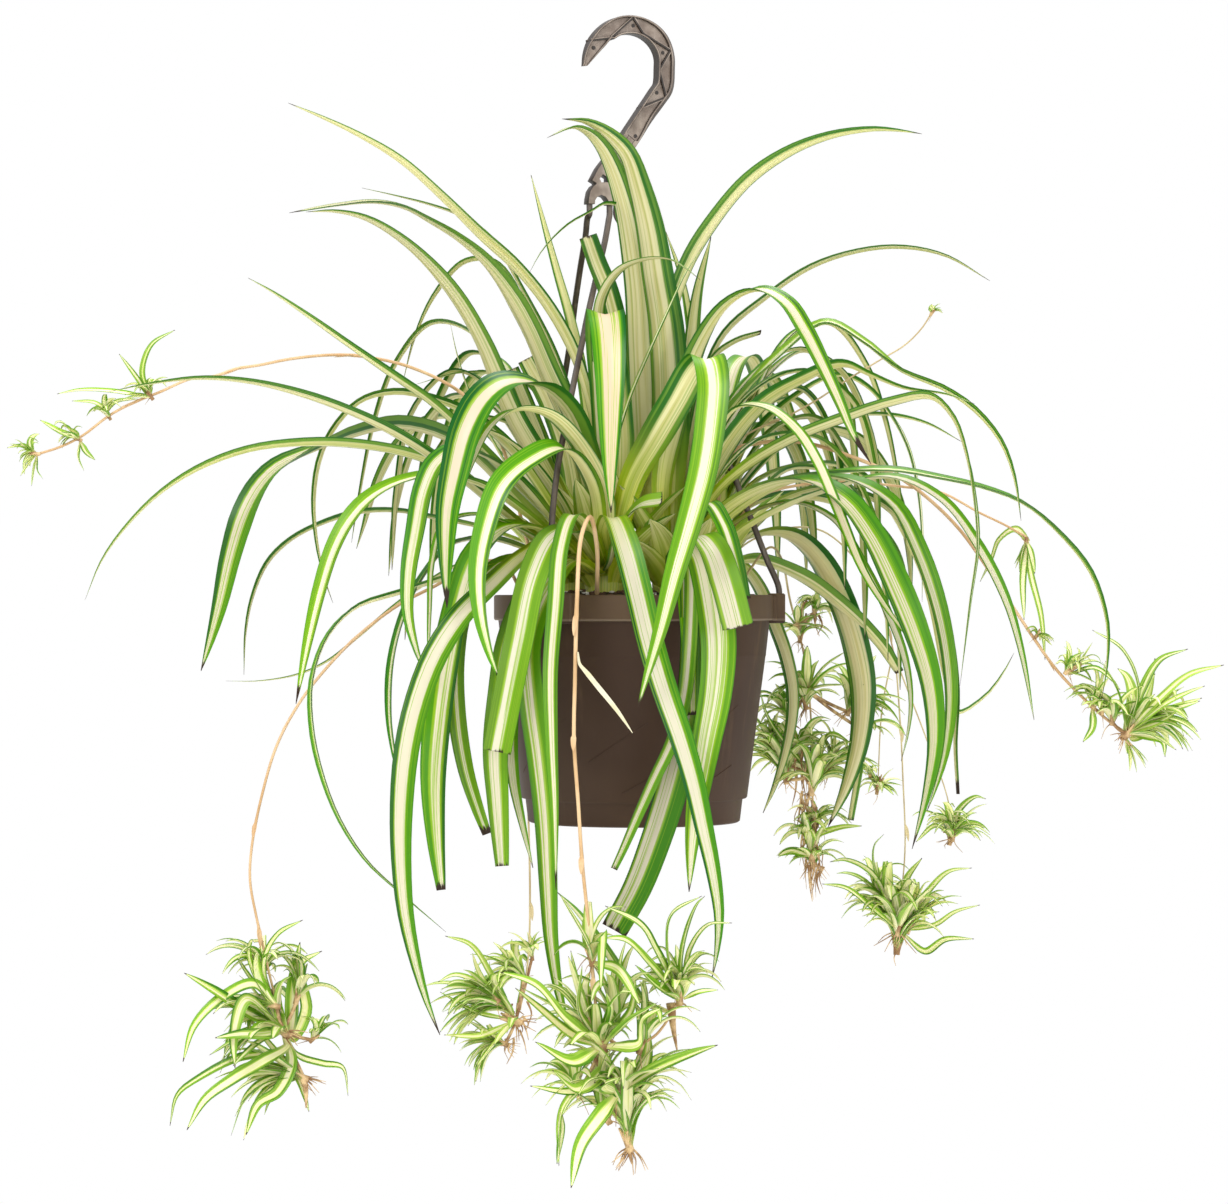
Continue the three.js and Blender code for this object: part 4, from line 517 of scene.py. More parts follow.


# Leaves: crown, width, rolls in degrees along the leaf, and column, row and depth of each point. Then what is a
# leaf's own: marks are its dark tip length, cream share, lime share and peach share, tone is darker or lighter than
# chance would make it, a tone below zero being painted shade, and nearer brings it forward in metres where it crosses
# its neighbour.
motherLeaves = [
    ("a", 19, (25, 30, 20), [600, 545, -28, 594, 440, -26, 575, 365, -22, 548, 312, -18, 515, 270, -14, 478,
     236, -10, 440, 198, -6, 400, 162, -2, 360, 137, 0, 322, 118, 2, 288, 103, 4], {"marks": (0.01, 0.9, 0.3,
     0.2)}),
    ("a", 22, (40, 45, 40, 0, -30), [597, 560, -32, 583, 480, -34, 566, 420, -36, 546, 375, -38, 527, 330, -40,
     508, 296, -40, 484, 264, -38, 458, 241, -34, 430, 223, -28, 405, 209, -24, 375, 203, -20, 335, 206, -16,
     289, 213, -12], {"marks": (0.02, 0.85, 0.0, 0.3)}),
    ("a", 22, (35, 40, 30, 10), [592, 560, -30, 565, 510, -34, 535, 460, -36, 512, 420, -36, 497, 386, -36, 480,
     345, -36, 458, 305, -34, 430, 269, -32, 400, 241, -30, 366, 220, -28, 335, 212, -26, 306, 212, -24],
     {"marks": (0.01, 0.95, 0.1, 0.5)}),
    ("a", 13, (20,), [590, 565, -34, 550, 520, -42, 510, 480, -50, 470, 440, -58, 430, 403, -64, 400, 382, -68,
     350, 347, -72, 300, 311, -76, 272, 292, -78, 248, 278, -80], {"marks": (0.004, 0.25, 0.2, 0.0)}),
    ("a", 13, (20, 25, 10), [588, 570, -36, 545, 545, -48, 505, 515, -60, 466, 483, -70, 430, 457, -78, 390,
     432, -84, 345, 411, -90, 300, 395, -94, 250, 383, -98, 200, 379, -102, 150, 384, -104, 108, 392, -106],
     {"marks": (0.01, 0.45, 0.1, 0.4)}),
    ("a", 14, (20, 25, 20, 0), [586, 572, -30, 545, 550, -40, 500, 512, -48, 455, 474, -54, 405, 455, -58, 350,
     446, -62, 300, 445, -64, 250, 451, -66, 200, 469, -68, 160, 494, -70, 127, 526, -72, 102, 560, -74, 85,
     600, -76], {}),
    ("a", 28, (30, 20, 10, -60, -75), [590, 572, -26, 550, 540, -26, 505, 490, -24, 455, 445, -22, 400, 428,
     -20, 350, 438, -20, 310, 453, -20, 280, 468, -22, 262, 486, -24, 246, 515, -28, 233, 555, -30, 221, 605,
     -30, 211, 640, -30, 201, 671, -30], {"marks": (0.01, 0.4, 0.1, 0.3)}),
    ("a", 15, (40, 40, 20, 5, 10, 10), [592, 568, -22, 560, 520, -18, 520, 462, -14, 472, 418, -12, 430, 400,
     -10, 395, 394, -10, 362, 402, -12, 336, 428, -14, 321, 460, -16, 315, 500, -18, 318, 545, -20, 325, 578,
     -22, 333, 603, -24], {}),
    ("a", 17, (10, 0, -30, -50), [588, 572, -40, 560, 545, -54, 520, 512, -68, 480, 486, -80, 440, 476, -88,
     400, 483, -96, 370, 499, -100, 349, 522, -104, 334, 550, -106, 321, 590, -108, 311, 630, -108, 303, 668,
     -108, 296, 704, -108], {"marks": (0.03, 0.35, 0.45, 0.0)}),
    ("a", 11, (20, 20, 0, 0), [586, 576, -36, 545, 566, -46, 500, 567, -56, 450, 578, -62, 400, 594, -66, 355,
     609, -70, 328, 637, -72, 313, 680, -74, 313, 725, -74, 322, 770, -74, 340, 818, -74, 367, 860, -74, 398,
     890, -74, 446, 932, -74], {}),
    ("a", 26, (0, 0, -20, -40, -45), [598, 560, -42, 585, 470, -62, 566, 412, -78, 540, 387, -84, 508, 384, -96,
     485, 399, -106, 467, 430, -114, 456, 470, -118, 448, 510, -120, 446, 560, -120, 447, 608, -120], {"marks":
     (0.035, 0.32, 0.0, 0.5)}),
    ("a", 9, (0, -20), [594, 565, -36, 560, 500, -56, 520, 450, -72, 480, 430, -84, 458, 450, -92, 446, 490,
     -96, 437, 545, -98], {}),
    ("a", 16, (0, -10, -40, -45), [590, 572, -44, 550, 520, -62, 505, 470, -78, 462, 450, -90, 438, 462, -98,
     424, 490, -104, 416, 530, -108, 409, 572, -110, 408, 612, -110, 415, 645, -110, 426, 677, -110], {}),
    ("a", 7, (0, -30), [588, 574, -38, 540, 540, -56, 480, 515, -72, 445, 525, -82, 433, 560, -88, 430, 610,
     -90, 428, 672, -90], {"marks": (0.05, 0.4, 0.3, 0.3)}),
    ("a", 14, (10, 0, -30), [586, 577, -30, 540, 556, -40, 490, 540, -50, 452, 545, -56, 425, 575, -60, 406,
     612, -62, 393, 660, -64, 390, 712, -64, 394, 750, -64, 402, 790, -64], {"marks": (0.02, 0.15, 0.0, 0.1)}),
    ("a", 18, (0, -20, -40, -40), [594, 572, -50, 562, 540, -54, 528, 555, -72, 492, 588, -92, 462, 618, -114,
     436, 658, -120, 418, 705, -122, 407, 755, -124, 402, 810, -124, 402, 862, -124, 406, 912, -124, 416, 962,
     -122, 428, 1004, -120, 440, 1035, -118], {"marks": (0.02, 0.5, 0.1, 0.1)}),
    ("a", 17, (0, -20, -40, -40), [600, 560, -50, 590, 486, -72, 562, 449, -92, 526, 462, -108, 500, 486, -118,
     485, 525, -124, 477, 570, -128, 479, 612, -130, 488, 650, -132, 501, 684, -132], {"marks": (0.02, 0.3, 0.1,
     0.2)}),
    ("a", 22, (0, -20, -65), [590, 574, -44, 550, 535, -60, 510, 528, -72, 478, 556, -82, 460, 606, -88, 448,
     660, -92, 439, 720, -94, 434, 780, -94, 436, 840, -94, 441, 890, -94], {"blunt": 0.25, "marks": (0.006,
     0.5, 0.1, 0.1)}),
    ("a", 14, (0, -20, -60), [590, 578, -36, 545, 558, -50, 500, 565, -62, 470, 604, -70, 458, 655, -74, 458,
     712, -76, 466, 768, -76, 477, 806, -76, 487, 834, -76], {"blunt": 0.4, "marks": (0.015, 0.1, 0.5, 0.0)}),
    ("a", 18, (0, -20, -40), [596, 576, -40, 565, 556, -56, 532, 594, -80, 512, 640, -100, 503, 690, -114, 496,
     750, -116, 498, 800, -116, 502, 866, -116], {"blunt": 0.45, "marks": (0.0, 0.45, 0.5, 0.1)}),
    ("a", 16, (0, -20, -20), [598, 574, -60, 572, 562, -90, 543, 598, -112, 528, 645, -122, 531, 700, -126, 539,
     760, -126, 545, 820, -126, 548, 885, -124, 551, 940, -120, 560, 998, -112, 574, 1045, -104], {}),
    ("a", 11, (0, 0, 0), [602, 560, -50, 592, 536, -80, 573, 516, -102, 561, 548, -120, 556, 605, -130, 551,
     672, -134, 552, 740, -136, 555, 812, -136, 556, 890, -136], {"marks": (0.03, 0.4, 0.3, 0.3)}),
    ("a", 12, (0, -30), [596, 576, -40, 562, 552, -56, 540, 562, -72, 524, 612, -92, 516, 665, -98, 511, 725,
     -106, 514, 780, -106, 523, 826, -106, 533, 868, -106], {}),
    ("a", 18, (0, -20, -20), [594, 560, -56, 574, 533, -86, 552, 540, -108, 533, 580, -122, 520, 640, -132, 509,
     695, -134, 498, 752, -134], {"blunt": 0.95, "marks": (0.0, 0.3, 0.6, 0.0)}),
    ("a", 26, (0,), [606, 560, -30, 614, 470, -40, 611, 400, -52, 605, 340, -66, 605, 315, -78, 608, 332, -92,
     610, 372, -102, 610, 420, -106, 610, 465, -106, 611, 513, -102], {"heading": -90, "marks": (0.01, 0.75,
     0.0, 1.0)}),
    ("a", 14, (0,), [612, 540, -24, 625, 440, -14, 622, 355, -20, 608, 290, -32, 597, 262, -33, 588, 236, -34],
     {"blunt": 0.8, "heading": -90, "marks": (0.0, 0.3, 0.4, 0.2)}),
    ("a", 11, (0, 40, 20, 0), [608, 560, -34, 606, 470, -44, 601, 390, -54, 599, 335, -60, 603, 297, -64, 620,
     271, -68, 645, 260, -72, 668, 259, -74, 685, 268, -76, 700, 280, -78], {}),
    ("a", 7, (-40, -40, -40), [608, 540, -44, 616, 450, -54, 630, 400, -58, 650, 352, -60, 668, 312, -60, 685,
     275, -60, 702, 247, -60], {"marks": (0.01, 0.4, 0.9, 0.0)}),
    ("a", 17, (0, -10), [610, 560, -44, 606, 530, -80, 614, 519, -98, 626, 548, -112, 638, 592, -120, 650, 642,
     -124, 665, 692, -126, 681, 738, -128, 694, 782, -128, 704, 828, -128, 713, 870, -128, 719, 915, -128, 717,
     950, -128, 712, 978, -128], {"heading": -80}),
    ("a", 13, (-55,), [612, 560, -60, 620, 530, -82, 640, 506, -92, 662, 501, -98], {"blunt": 0.9, "marks":
     (0.0, 0.5, 0.9, 0.1)}),
    ("a", 14, (20, 20, 10, -30), [606, 560, -50, 602, 495, -66, 578, 446, -80, 548, 416, -92, 515, 411, -100,
     490, 428, -108, 473, 460, -112, 460, 497, -114], {}),
    ("b", 25, (10,), [668, 540, -22, 668, 470, -24, 668, 400, -28, 664, 330, -34, 656, 280, -40, 648, 230, -46,
     638, 190, -52, 627, 158, -58, 610, 138, -62, 588, 124, -66, 562, 119, -68], {"heading": -120, "marks":
     (0.01, 0.55, 0.1, 0.5), "tone": 0.02, "nearer": -0.016}),
    ("b", 11, (30, 30, 10, 0), [664, 540, -18, 660, 440, -26, 656, 350, -34, 653, 285, -42, 643, 236, -48, 623,
     209, -52, 605, 204, -54, 590, 212, -54, 570, 223, -54, 552, 239, -54, 540, 254, -54, 530, 272, -54], {}),
    ("b", 23, (10,), [652, 520, -22, 645, 420, -26, 641, 340, -34, 638, 290, -42, 632, 245, -50, 624, 205, -58,
     613, 170, -65, 602, 148, -69, 589, 134, -72, 573, 128, -75, 547, 138, -77], {"heading": -120, "marks":
     (0.01, 0.6, 0.4, 0.3), "tone": 0.05}),
    ("b", 18, (26, 42, 46, 25), [672, 540, -20, 667, 460, -18, 664, 385, -17, 672, 320, -16, 690, 265, -13, 715,
     223, -8, 750, 181, 0, 790, 153, 2, 830, 137, 4, 872, 130, 6, 900, 131, 8, 922, 134, 10], {"marks": (0.01,
     0.5, 0.1, 0.1)}),
    ("b", 19, (30, 30, 0, -30, -40), [668, 560, -30, 664, 480, -38, 682, 405, -48, 702, 345, -58, 728, 306, -68,
     757, 291, -76, 784, 303, -84, 803, 330, -90, 822, 366, -94, 838, 400, -96, 853, 435, -98, 871, 464, -100],
     {"marks": (0.05, 0.5, 0.2, 0.4)}),
    ("a", 21, (0,), [615, 548, -44, 632, 482, -64, 655, 440, -80, 677, 402, -94, 695, 370, -108, 707, 360, -122,
     713, 382, -134, 710, 425, -140, 703, 470, -142, 690, 520, -142, 674, 575, -142, 660, 630, -142, 647, 675,
     -140, 638, 707, -138], {"heading": -90, "marks": (0.01, 0.4, 0.4, 0.1)}),
    ("b", 15, (30, 30, 20), [676, 560, -12, 690, 450, -12, 700, 395, -12, 713, 360, -10, 735, 343, -6, 760, 334,
     2], {"blunt": 0.5}),
    ("b", 12, (30, 30, 10), [676, 562, -10, 684, 470, 6, 700, 395, 16, 724, 337, 22, 765, 300, 28, 810, 269, 32,
     855, 253, 34, 900, 248, 36, 945, 256, 38, 990, 281, 40], {}),
    ("b", 17, (30, 20, -20, -10, 20, 20), [678, 566, -20, 700, 460, -22, 740, 398, -26, 785, 352, -30, 825, 324,
     -34, 862, 342, -38, 900, 371, -40, 945, 391, -42, 975, 412, -44, 1000, 442, -46, 1014, 478, -48, 1021, 521,
     -50], {"marks": (0.01, 0.45, 0.7, 0.0)}),
    ("b", 16, (30, 40, 20, -10), [680, 568, -26, 715, 470, -34, 760, 408, -42, 800, 382, -48, 842, 366, -54,
     870, 376, -58, 905, 389, -62, 945, 394, -66, 975, 404, -68], {}),
    ("b", 11, (30, 35, 30, 0, 10), [684, 570, -28, 712, 500, -40, 745, 468, -50, 790, 441, -58, 840, 421, -64,
     890, 404, -70, 930, 398, -74, 952, 418, -78, 966, 455, -80, 974, 500, -82, 977, 545, -82, 970, 600, -82,
     960, 686, -82], {}),
    ("b", 11, (0, -10, -30, -40), [676, 566, -34, 706, 470, -56, 735, 410, -72, 765, 408, -84, 795, 430, -92,
     816, 462, -98, 832, 498, -102, 845, 530, -104, 862, 570, -106, 885, 607, -106, 918, 650, -106], {"marks":
     (0.01, 0.75, 0.1, 0.4)}),
    ("b", 21, (20, 10, -20, -45, -40, -20), [680, 572, -38, 712, 525, -58, 760, 492, -74, 806, 482, -88, 842,
     500, -98, 870, 535, -104, 893, 580, -108, 914, 630, -110, 930, 685, -110, 934, 740, -110, 926, 792, -108,
     912, 849, -106], {"marks": (0.02, 0.5, 0.1, 0.4)}),
    ("b", 17, (20, 10, -30, -45, -45), [684, 574, -30, 735, 515, -42, 795, 482, -52, 850, 481, -60, 892, 505,
     -66, 917, 550, -70, 935, 600, -72, 946, 650, -72, 950, 700, -72, 945, 750, -70, 936, 785, -68, 927, 811,
     -66], {}),
    ("b", 14, (20, 10, -15, -10, 15, 15), [684, 576, -20, 730, 510, -22, 780, 482, -24, 830, 474, -26, 890, 471,
     -28, 940, 479, -30, 985, 489, -30, 1025, 505, -30, 1060, 535, -30, 1090, 573, -30, 1106, 620, -30, 1107,
     660, -30, 1102, 697, -30], {"marks": (0.01, 0.3, 0.2, 0.2)}),
    ("b", 14, (20, 10, -20, -40, -40), [686, 577, -26, 745, 530, -34, 820, 494, -42, 890, 478, -48, 940, 500,
     -52, 976, 545, -54, 1004, 598, -56, 1020, 650, -56, 1034, 720, -56], {}),
    ("b", 11, (20, 0, -30, -40, -30), [682, 574, -22, 728, 528, -28, 785, 503, -34, 832, 520, -38, 862, 566,
     -40, 886, 612, -42, 903, 656, -42, 910, 700, -42, 907, 735, -42, 901, 761, -42], {}),
    ("b", 23, (0,), [680, 566, -60, 692, 545, -86, 704, 560, -100, 713, 600, -106, 718, 645, -108, 715, 692,
     -110, 706, 742, -110, 698, 792, -110, 692, 840, -110, 689, 892, -110], {"heading": -85}),
    ("b", 20, (0,), [682, 562, -66, 697, 537, -94, 713, 552, -112, 726, 587, -122, 737, 628, -126], {"blunt":
     0.95, "heading": -80, "marks": (0.0, 0.7, 0.6, 0.1)}),
    ("b", 13, (0,), [684, 560, -50, 706, 504, -72, 722, 524, -86, 734, 560, -92, 743, 600, -96], {"blunt": 0.7,
     "heading": -70, "marks": (0.01, 0.1, 0.1, 0.1)}),
    ("b", 12, (0,), [674, 575, -60, 684, 585, -84, 689, 620, -98, 691, 665, -100, 692, 715, -100], {"blunt":
     0.6, "heading": -90, "marks": (0.01, 0.3, 0.3, 0.6)}),
    ("b", 9, (0,), [680, 572, -70, 690, 560, -92, 690, 640, -102, 684, 700, -103, 672, 742, -103, 655, 778,
     -103, 637, 818, -103, 623, 850, -103, 614, 869, -103], {"blunt": 0.45, "heading": -90, "marks": (0.0, 0.4,
     0.3, 0.2)}),
    # This leaf's tone below zero is painted shade: it lies in the shade of the leaves in front of it
    ("b", 20, (0,), [684, 570, -66, 694, 558, -88, 697, 620, -96, 694, 690, -98, 684, 742, -98, 671, 792, -98,
     655, 842, -98, 637, 888, -98, 614, 930, -98], {"blunt": 0.8, "heading": -90, "marks": (0.003, 0.55, 0.0,
     0.15), "tone": -0.4}),
    ("c", 7, (20,), [575, 550, 34, 580, 440, 30, 556, 358, 26, 520, 287, 22, 492, 240, 20, 462, 217, 18, 430,
     205, 18, 396, 196, 18, 362, 188, 18], {}),
    ("c", 9, (20, 20, 10), [565, 560, 40, 530, 545, 50, 480, 528, 58, 430, 518, 64, 400, 512, 68, 360, 513, 72,
     320, 525, 76, 290, 541, 78, 268, 563, 80, 253, 597, 82, 246, 632, 82, 244, 675, 82], {}),
    ("c", 6, (10,), [560, 575, 44, 520, 568, 56, 470, 562, 66, 410, 595, 72, 360, 636, 76, 330, 660, 78, 300,
     674, 80, 260, 681, 80, 226, 681, 80], {}),
    ("c", 8, (0,), [575, 560, 34, 590, 470, 26, 583, 380, 18, 570, 318, 14, 557, 272, 10, 545, 228, 6, 531, 175,
     2], {"heading": -90}),
    ("c", 9, (20, 30, 20), [575, 540, 38, 560, 430, 42, 528, 318, 46, 496, 264, 48, 466, 262, 50, 436, 294, 52,
     416, 335, 54, 403, 382, 54], {"marks": (0.01, 0.8, 0.2, 0.2)}),
    ("c", 6, (20,), [562, 560, 42, 535, 510, 46, 500, 455, 48, 472, 400, 50, 457, 355, 52, 450, 322, 52], {}),
    ("c", 6, (10,), [566, 550, 42, 552, 430, 38, 530, 388, 40, 500, 374, 44, 460, 373, 48, 414, 385, 52], {}),
    ("c", 11, (0,), [570, 545, 40, 548, 460, 40, 527, 405, 38, 512, 369, 34], {"blunt": 0.8, "heading": -90,
     "marks": (0.0, 0.5, 0.3, 0.2)}),
    ("c", 14, (0,), [574, 540, 34, 570, 470, 34, 552, 410, 32, 526, 359, 30], {"blunt": 0.8, "heading": -90,
     "marks": (0.0, 0.5, 0.3, 0.2)}),
    ("d", 8, (0,), [695, 560, 32, 700, 440, 26, 692, 340, 20, 682, 280, 16, 666, 232, 12], {"heading": -90}),
    ("d", 13, (0,), [690, 560, 30, 683, 470, 24, 688, 400, 18, 692, 340, 14, 698, 290, 10, 711, 237, 6],
     {"heading": -90}),
    ("d", 9, (20,), [705, 560, 44, 750, 480, 52, 800, 435, 58, 845, 418, 62, 885, 415, 66, 925, 423, 68, 962,
     442, 70], {}),
    ("d", 12, (30, 30, -20, -30), [706, 556, 40, 745, 450, 46, 795, 398, 50, 838, 376, 54, 866, 387, 58, 890,
     415, 60, 908, 450, 62, 918, 495, 64, 922, 545, 64, 922, 602, 64], {}),
    ("d", 25, (0, 10, 30, 30), [708, 570, 50, 735, 545, 62, 765, 535, 70, 792, 540, 76, 815, 560, 80, 838, 602,
     84, 853, 646, 86, 861, 692, 86, 858, 740, 86, 846, 785, 86, 828, 827, 86], {"marks": (0.02, 0.6, 0.0,
     0.9)}),
    ("d", 8, (20,), [710, 574, 44, 760, 560, 70, 810, 580, 88, 845, 625, 96, 864, 690, 98, 861, 750, 98, 850,
     820, 98], {"blunt": 0.6, "marks": (0.0, 0.4, 0.3, 0.2)}),
    ("d", 18, (20,), [706, 576, 48, 750, 562, 64, 800, 578, 74, 845, 611, 80, 880, 646, 84, 898, 673, 86],
     {"blunt": 0.5}),
    ("d", 13, (20, 0), [708, 570, 36, 750, 520, 40, 820, 490, 44, 880, 505, 48, 925, 560, 50, 947, 630, 52, 955,
     690, 52, 954, 745, 52, 957, 794, 52], {"blunt": 0.5, "marks": (0.02, 0.3, 0.0, 0.5)}),
    ("d", 11, (0, 20, 40), [712, 572, 46, 735, 562, 67, 757, 586, 84, 774, 625, 86, 785, 655, 84, 792, 690, 82,
     791, 722, 82, 783, 760, 84, 773, 790, 86, 763, 813, 86], {}),
    ("d", 16, (20, 20), [706, 570, 42, 750, 508, 54, 800, 498, 62, 850, 510, 70, 890, 545, 76, 912, 600, 80],
     {}),
    ("d", 15, (20, 20), [702, 565, 48, 735, 495, 66, 775, 450, 80, 815, 432, 90, 855, 440, 98, 885, 475, 104,
     905, 530, 108, 912, 600, 110], {}),
]
# Smaller leaves in the thick of the plant: crown, width and points
innerLeaves = [
    ("b", 15, [700, 480, -5, 745, 400, 0, 800, 372, 5, 850, 400, 10, 872, 470, 12, 880, 560, 12]),
    ("d", 17, [730, 500, 30, 775, 430, 36, 815, 420, 40, 850, 470, 44, 862, 560, 46, 865, 640, 46]),
    ("d", 15, [720, 470, 34, 760, 400, 40, 800, 390, 46, 832, 440, 50, 842, 520, 52, 845, 590, 52]),
    ("b", 13, [700, 470, 0, 745, 385, 6, 795, 350, 12, 840, 372, 18, 868, 430, 22, 884, 500, 24]),
    ("d", 14, [720, 450, 40, 765, 380, 50, 805, 352, 58, 840, 385, 64, 853, 450, 68, 858, 520, 70]),
    ("d", 16, [740, 520, 20, 790, 470, 24, 840, 480, 28, 880, 540, 30, 896, 620, 31, 900, 690, 31]),
    ("b", 12, [705, 500, -10, 760, 440, -6, 820, 440, -2, 866, 500, 2, 884, 590, 4, 888, 660, 4]),
    ("d", 16, [760, 480, 60, 850, 470, 70, 915, 560, 78, 945, 680, 80, 957, 713, 80, 985, 697, 80, 1003, 674,
     79, 1014, 653, 78]),
    ("c", 14, [540, 480, 40, 500, 400, 46, 455, 372, 52, 415, 410, 56, 398, 490, 58, 392, 570, 58]),
    ("a", 13, [570, 500, -20, 520, 430, -16, 470, 420, -12, 430, 470, -10, 412, 560, -8, 405, 640, -8]),
]
crownBatches = {crown: newBatch() for crown in crowns}
draw = seeded(5)
for crown, width, rolls, numbers, own in motherLeaves:
    points = frontPoints(numbers)
    last = len(points) - 1
    for k in range(2, last):
        points[k].y += own.get("nearer", 0.0) * min(1, (last - k) / 3)
    chance = draw()
    plain = (0.003 + 0.012 * draw(), 0.3 + 0.45 * draw(), 0.45 * draw(), 0.25 * draw())
    facts = (own.get("tone", chance), *own.get("marks", plain))
    addBlade(crownBatches[crown], fromCrown(crown, points, points[1]), width, facts, 48, rolls,
             own.get("blunt"), own.get("heading"))

extra = seeded(9)
for crown, width, numbers in innerLeaves:
    points = frontPoints(numbers)
    facts = (extra(), 0.01, 0.4 + 0.4 * extra(), 0.3 * extra(), 0.3 * extra())
    addBlade(crownBatches[crown], fromCrown(crown, points, points[0]), width, facts, 40, (0, 0, 0, 40))

# Leaves at the back: crown, count, first and last heading in degrees, width
backLeaves = (("c", 5, 132, 176, 30), ("d", 9, 10, 126, 30))
backCourse = [(0.12, 0.34), (0.29, 0.7), (0.48, 0.94), (0.67, 0.98), (0.84, 0.83), (0.95, 0.6), (1.03, 0.3)]
extra = seeded(13)
for crown, count, low, high, widest in backLeaves:
    for i in range(count):
        out = level(math.radians(low + (high - low) * (i + 0.2 + 0.6 * extra()) / count))
        reach, rise, drop = 80 + 90 * extra(), 95 + 75 * extra(), 40 * extra() - 20
        width = widest * (0.42 + 0.2 * extra())
        root = crownRoot(crown)
        points = [root] + [root + out * (reach * along / 1000) + mm(0, 0, rise * up) for along, up in backCourse]
        points.append(root + out * (reach * 1.07 / 1000) + mm(0, 0, -drop))
        facts = (draw(), 0.01 * draw(), 0.4 + 0.4 * draw(), 0.3 * draw(), 0.4 * draw())
        addBlade(crownBatches[crown], points, width, facts, 56)

# Overlapping leaf bases close each crown
sheaths = {"count": 13, "width": 27, "radius": 8.5, "lean": 24, "reach": (46, 42), "turn": 137.5}
for crown, batch in crownBatches.items():
    base = crownRoot(crown, -3)
    addLathe(batch, base, crownShape["profile"], crownShape["sides"])
    for i in range(sheaths["count"]):
        angle = math.radians(i * sheaths["turn"] + 40 * draw())
        share = i / (sheaths["count"] - 1)
        lean = math.radians(sheaths["lean"] * (0.55 + 0.9 * share) + 10 * draw())
        grow, aim = (level(angle) * math.sin(a) + Vector((0, 0, math.cos(a))) for a in (lean * 0.5, lean * 1.5))
        start = base + level(angle) * (sheaths["radius"] * (0.4 + 0.6 * share) / 1000)
        points = growthCourse(start, grow, aim, sheaths["reach"][0] + sheaths["reach"][1] * draw(), 0.0)
        facts = (0.5 + 0.5 * draw(), 0.0, 0.7 + 0.3 * draw(), 0.5 + 0.5 * draw(), 0.1 * draw())
        width = sheaths["width"] * (0.8 + 0.3 * draw())
        addBlade(batch, points, width, facts, 12, heading=math.degrees(angle), reach=0.3)
    toPiece(batch, "motherPlant_" + crown, motherLeafMaterial, ["crown_" + crown])
print("mother plant made")

# Runners: stems with knots, and a small dry bract at each knot
runner = {"radius": 1.3, "branch": 0.8, "knotGap": 0.07, "knot": 0.16, "bract": 11, "bractWidth": 3.4, "paleUnder": 0.7}
# Slimness, then the courses: the first leaves the soil and the others branch off it
runnerCourses = {
    "left": (0.85, [[540, 590, 8, 524, 530, 6, 495, 430, 4, 460, 392, 4, 410, 367, 4, 360, 356, 4, 330, 355, 4,
     290, 359, 2, 260, 365, 0, 235, 369, -2, 215, 376, -4, 190, 379, -4, 160, 392, -4, 135, 402, -4, 110, 415,
     -4, 82, 436, -4, 60, 447, -4, 38, 454, -4]]),
    "low_left": (0.8, [[522, 592, -20, 502, 562, -22, 470, 566, -24, 435, 586, -24, 400, 604, -24, 360, 634,
     -24, 330, 664, -24, 300, 702, -24, 277, 745, -24, 262, 795, -24, 252, 845, -24, 250, 880, -24, 256, 915,
     -24, 264, 950, -24, 272, 985, -24, 284, 1030, -24]]),
    "front": (1.0, [[597, 592, -66, 597, 548, -98, 590, 517, -124, 581, 538, -140, 577, 600, -148, 575, 680,
     -150, 574, 740, -150, 578, 800, -150, 582, 860, -150, 587, 910, -150, 592, 965, -150, 600, 1040, -150, 608,
     1070, -150, 618, 1096, -150], [598, 1030, -150, 622, 1046, -147, 652, 1038, -142, 676, 1008, -138]]),
    "right": (1.0, [[728, 592, 6, 718, 500, 6, 732, 452, 6, 760, 443, 6, 800, 442, 6, 850, 456, 6, 900, 478, 6,
     930, 500, 6, 960, 530, 6, 990, 572, 6, 1015, 610, 6, 1035, 640, 6, 1055, 668, 6, 1080, 695, 6, 1105, 718,
     6, 1124, 732, 6]]),
    "mid_right": (0.75, [[745, 592, 14, 735, 530, 14, 760, 497, 14, 800, 485, 14, 850, 482, 14, 905, 487, 14,
     940, 492, 14, 980, 513, 14, 1005, 525, 14, 1026, 537, 14]]),
    "high_right": (0.5, [[714, 592, 12, 706, 500, 12, 740, 440, 12, 790, 415, 12, 820, 398, 12, 850, 378, 12,
     880, 360, 12, 905, 345, 12, 922, 328, 12, 931, 314, 12]]),
    "back_left": (0.65, [[540, 592, 40, 528, 560, 80, 524, 600, 100, 526, 700, 102, 528, 800, 102, 530, 900,
     102, 528, 960, 102, 520, 1010, 102]]),
    "back_right": (0.6, [[734, 592, 30, 768, 548, 56, 782, 560, 84, 790, 600, 104, 805, 660, 108, 812, 740, 108,
     812, 820, 108, 810, 868, 108]]),
    "far_right": (0.5, [[704, 592, 56, 752, 540, 92, 820, 530, 118, 870, 580, 126, 893, 650, 134, 900, 720, 134,
     903, 780, 134, 905, 850, 134, 898, 925, 134], [894, 655, 134, 925, 735, 134, 948, 800, 134, 952, 838, 134],
     [893, 652, 134, 882, 710, 134, 878, 780, 134]]),
}
draw = seeded(61)
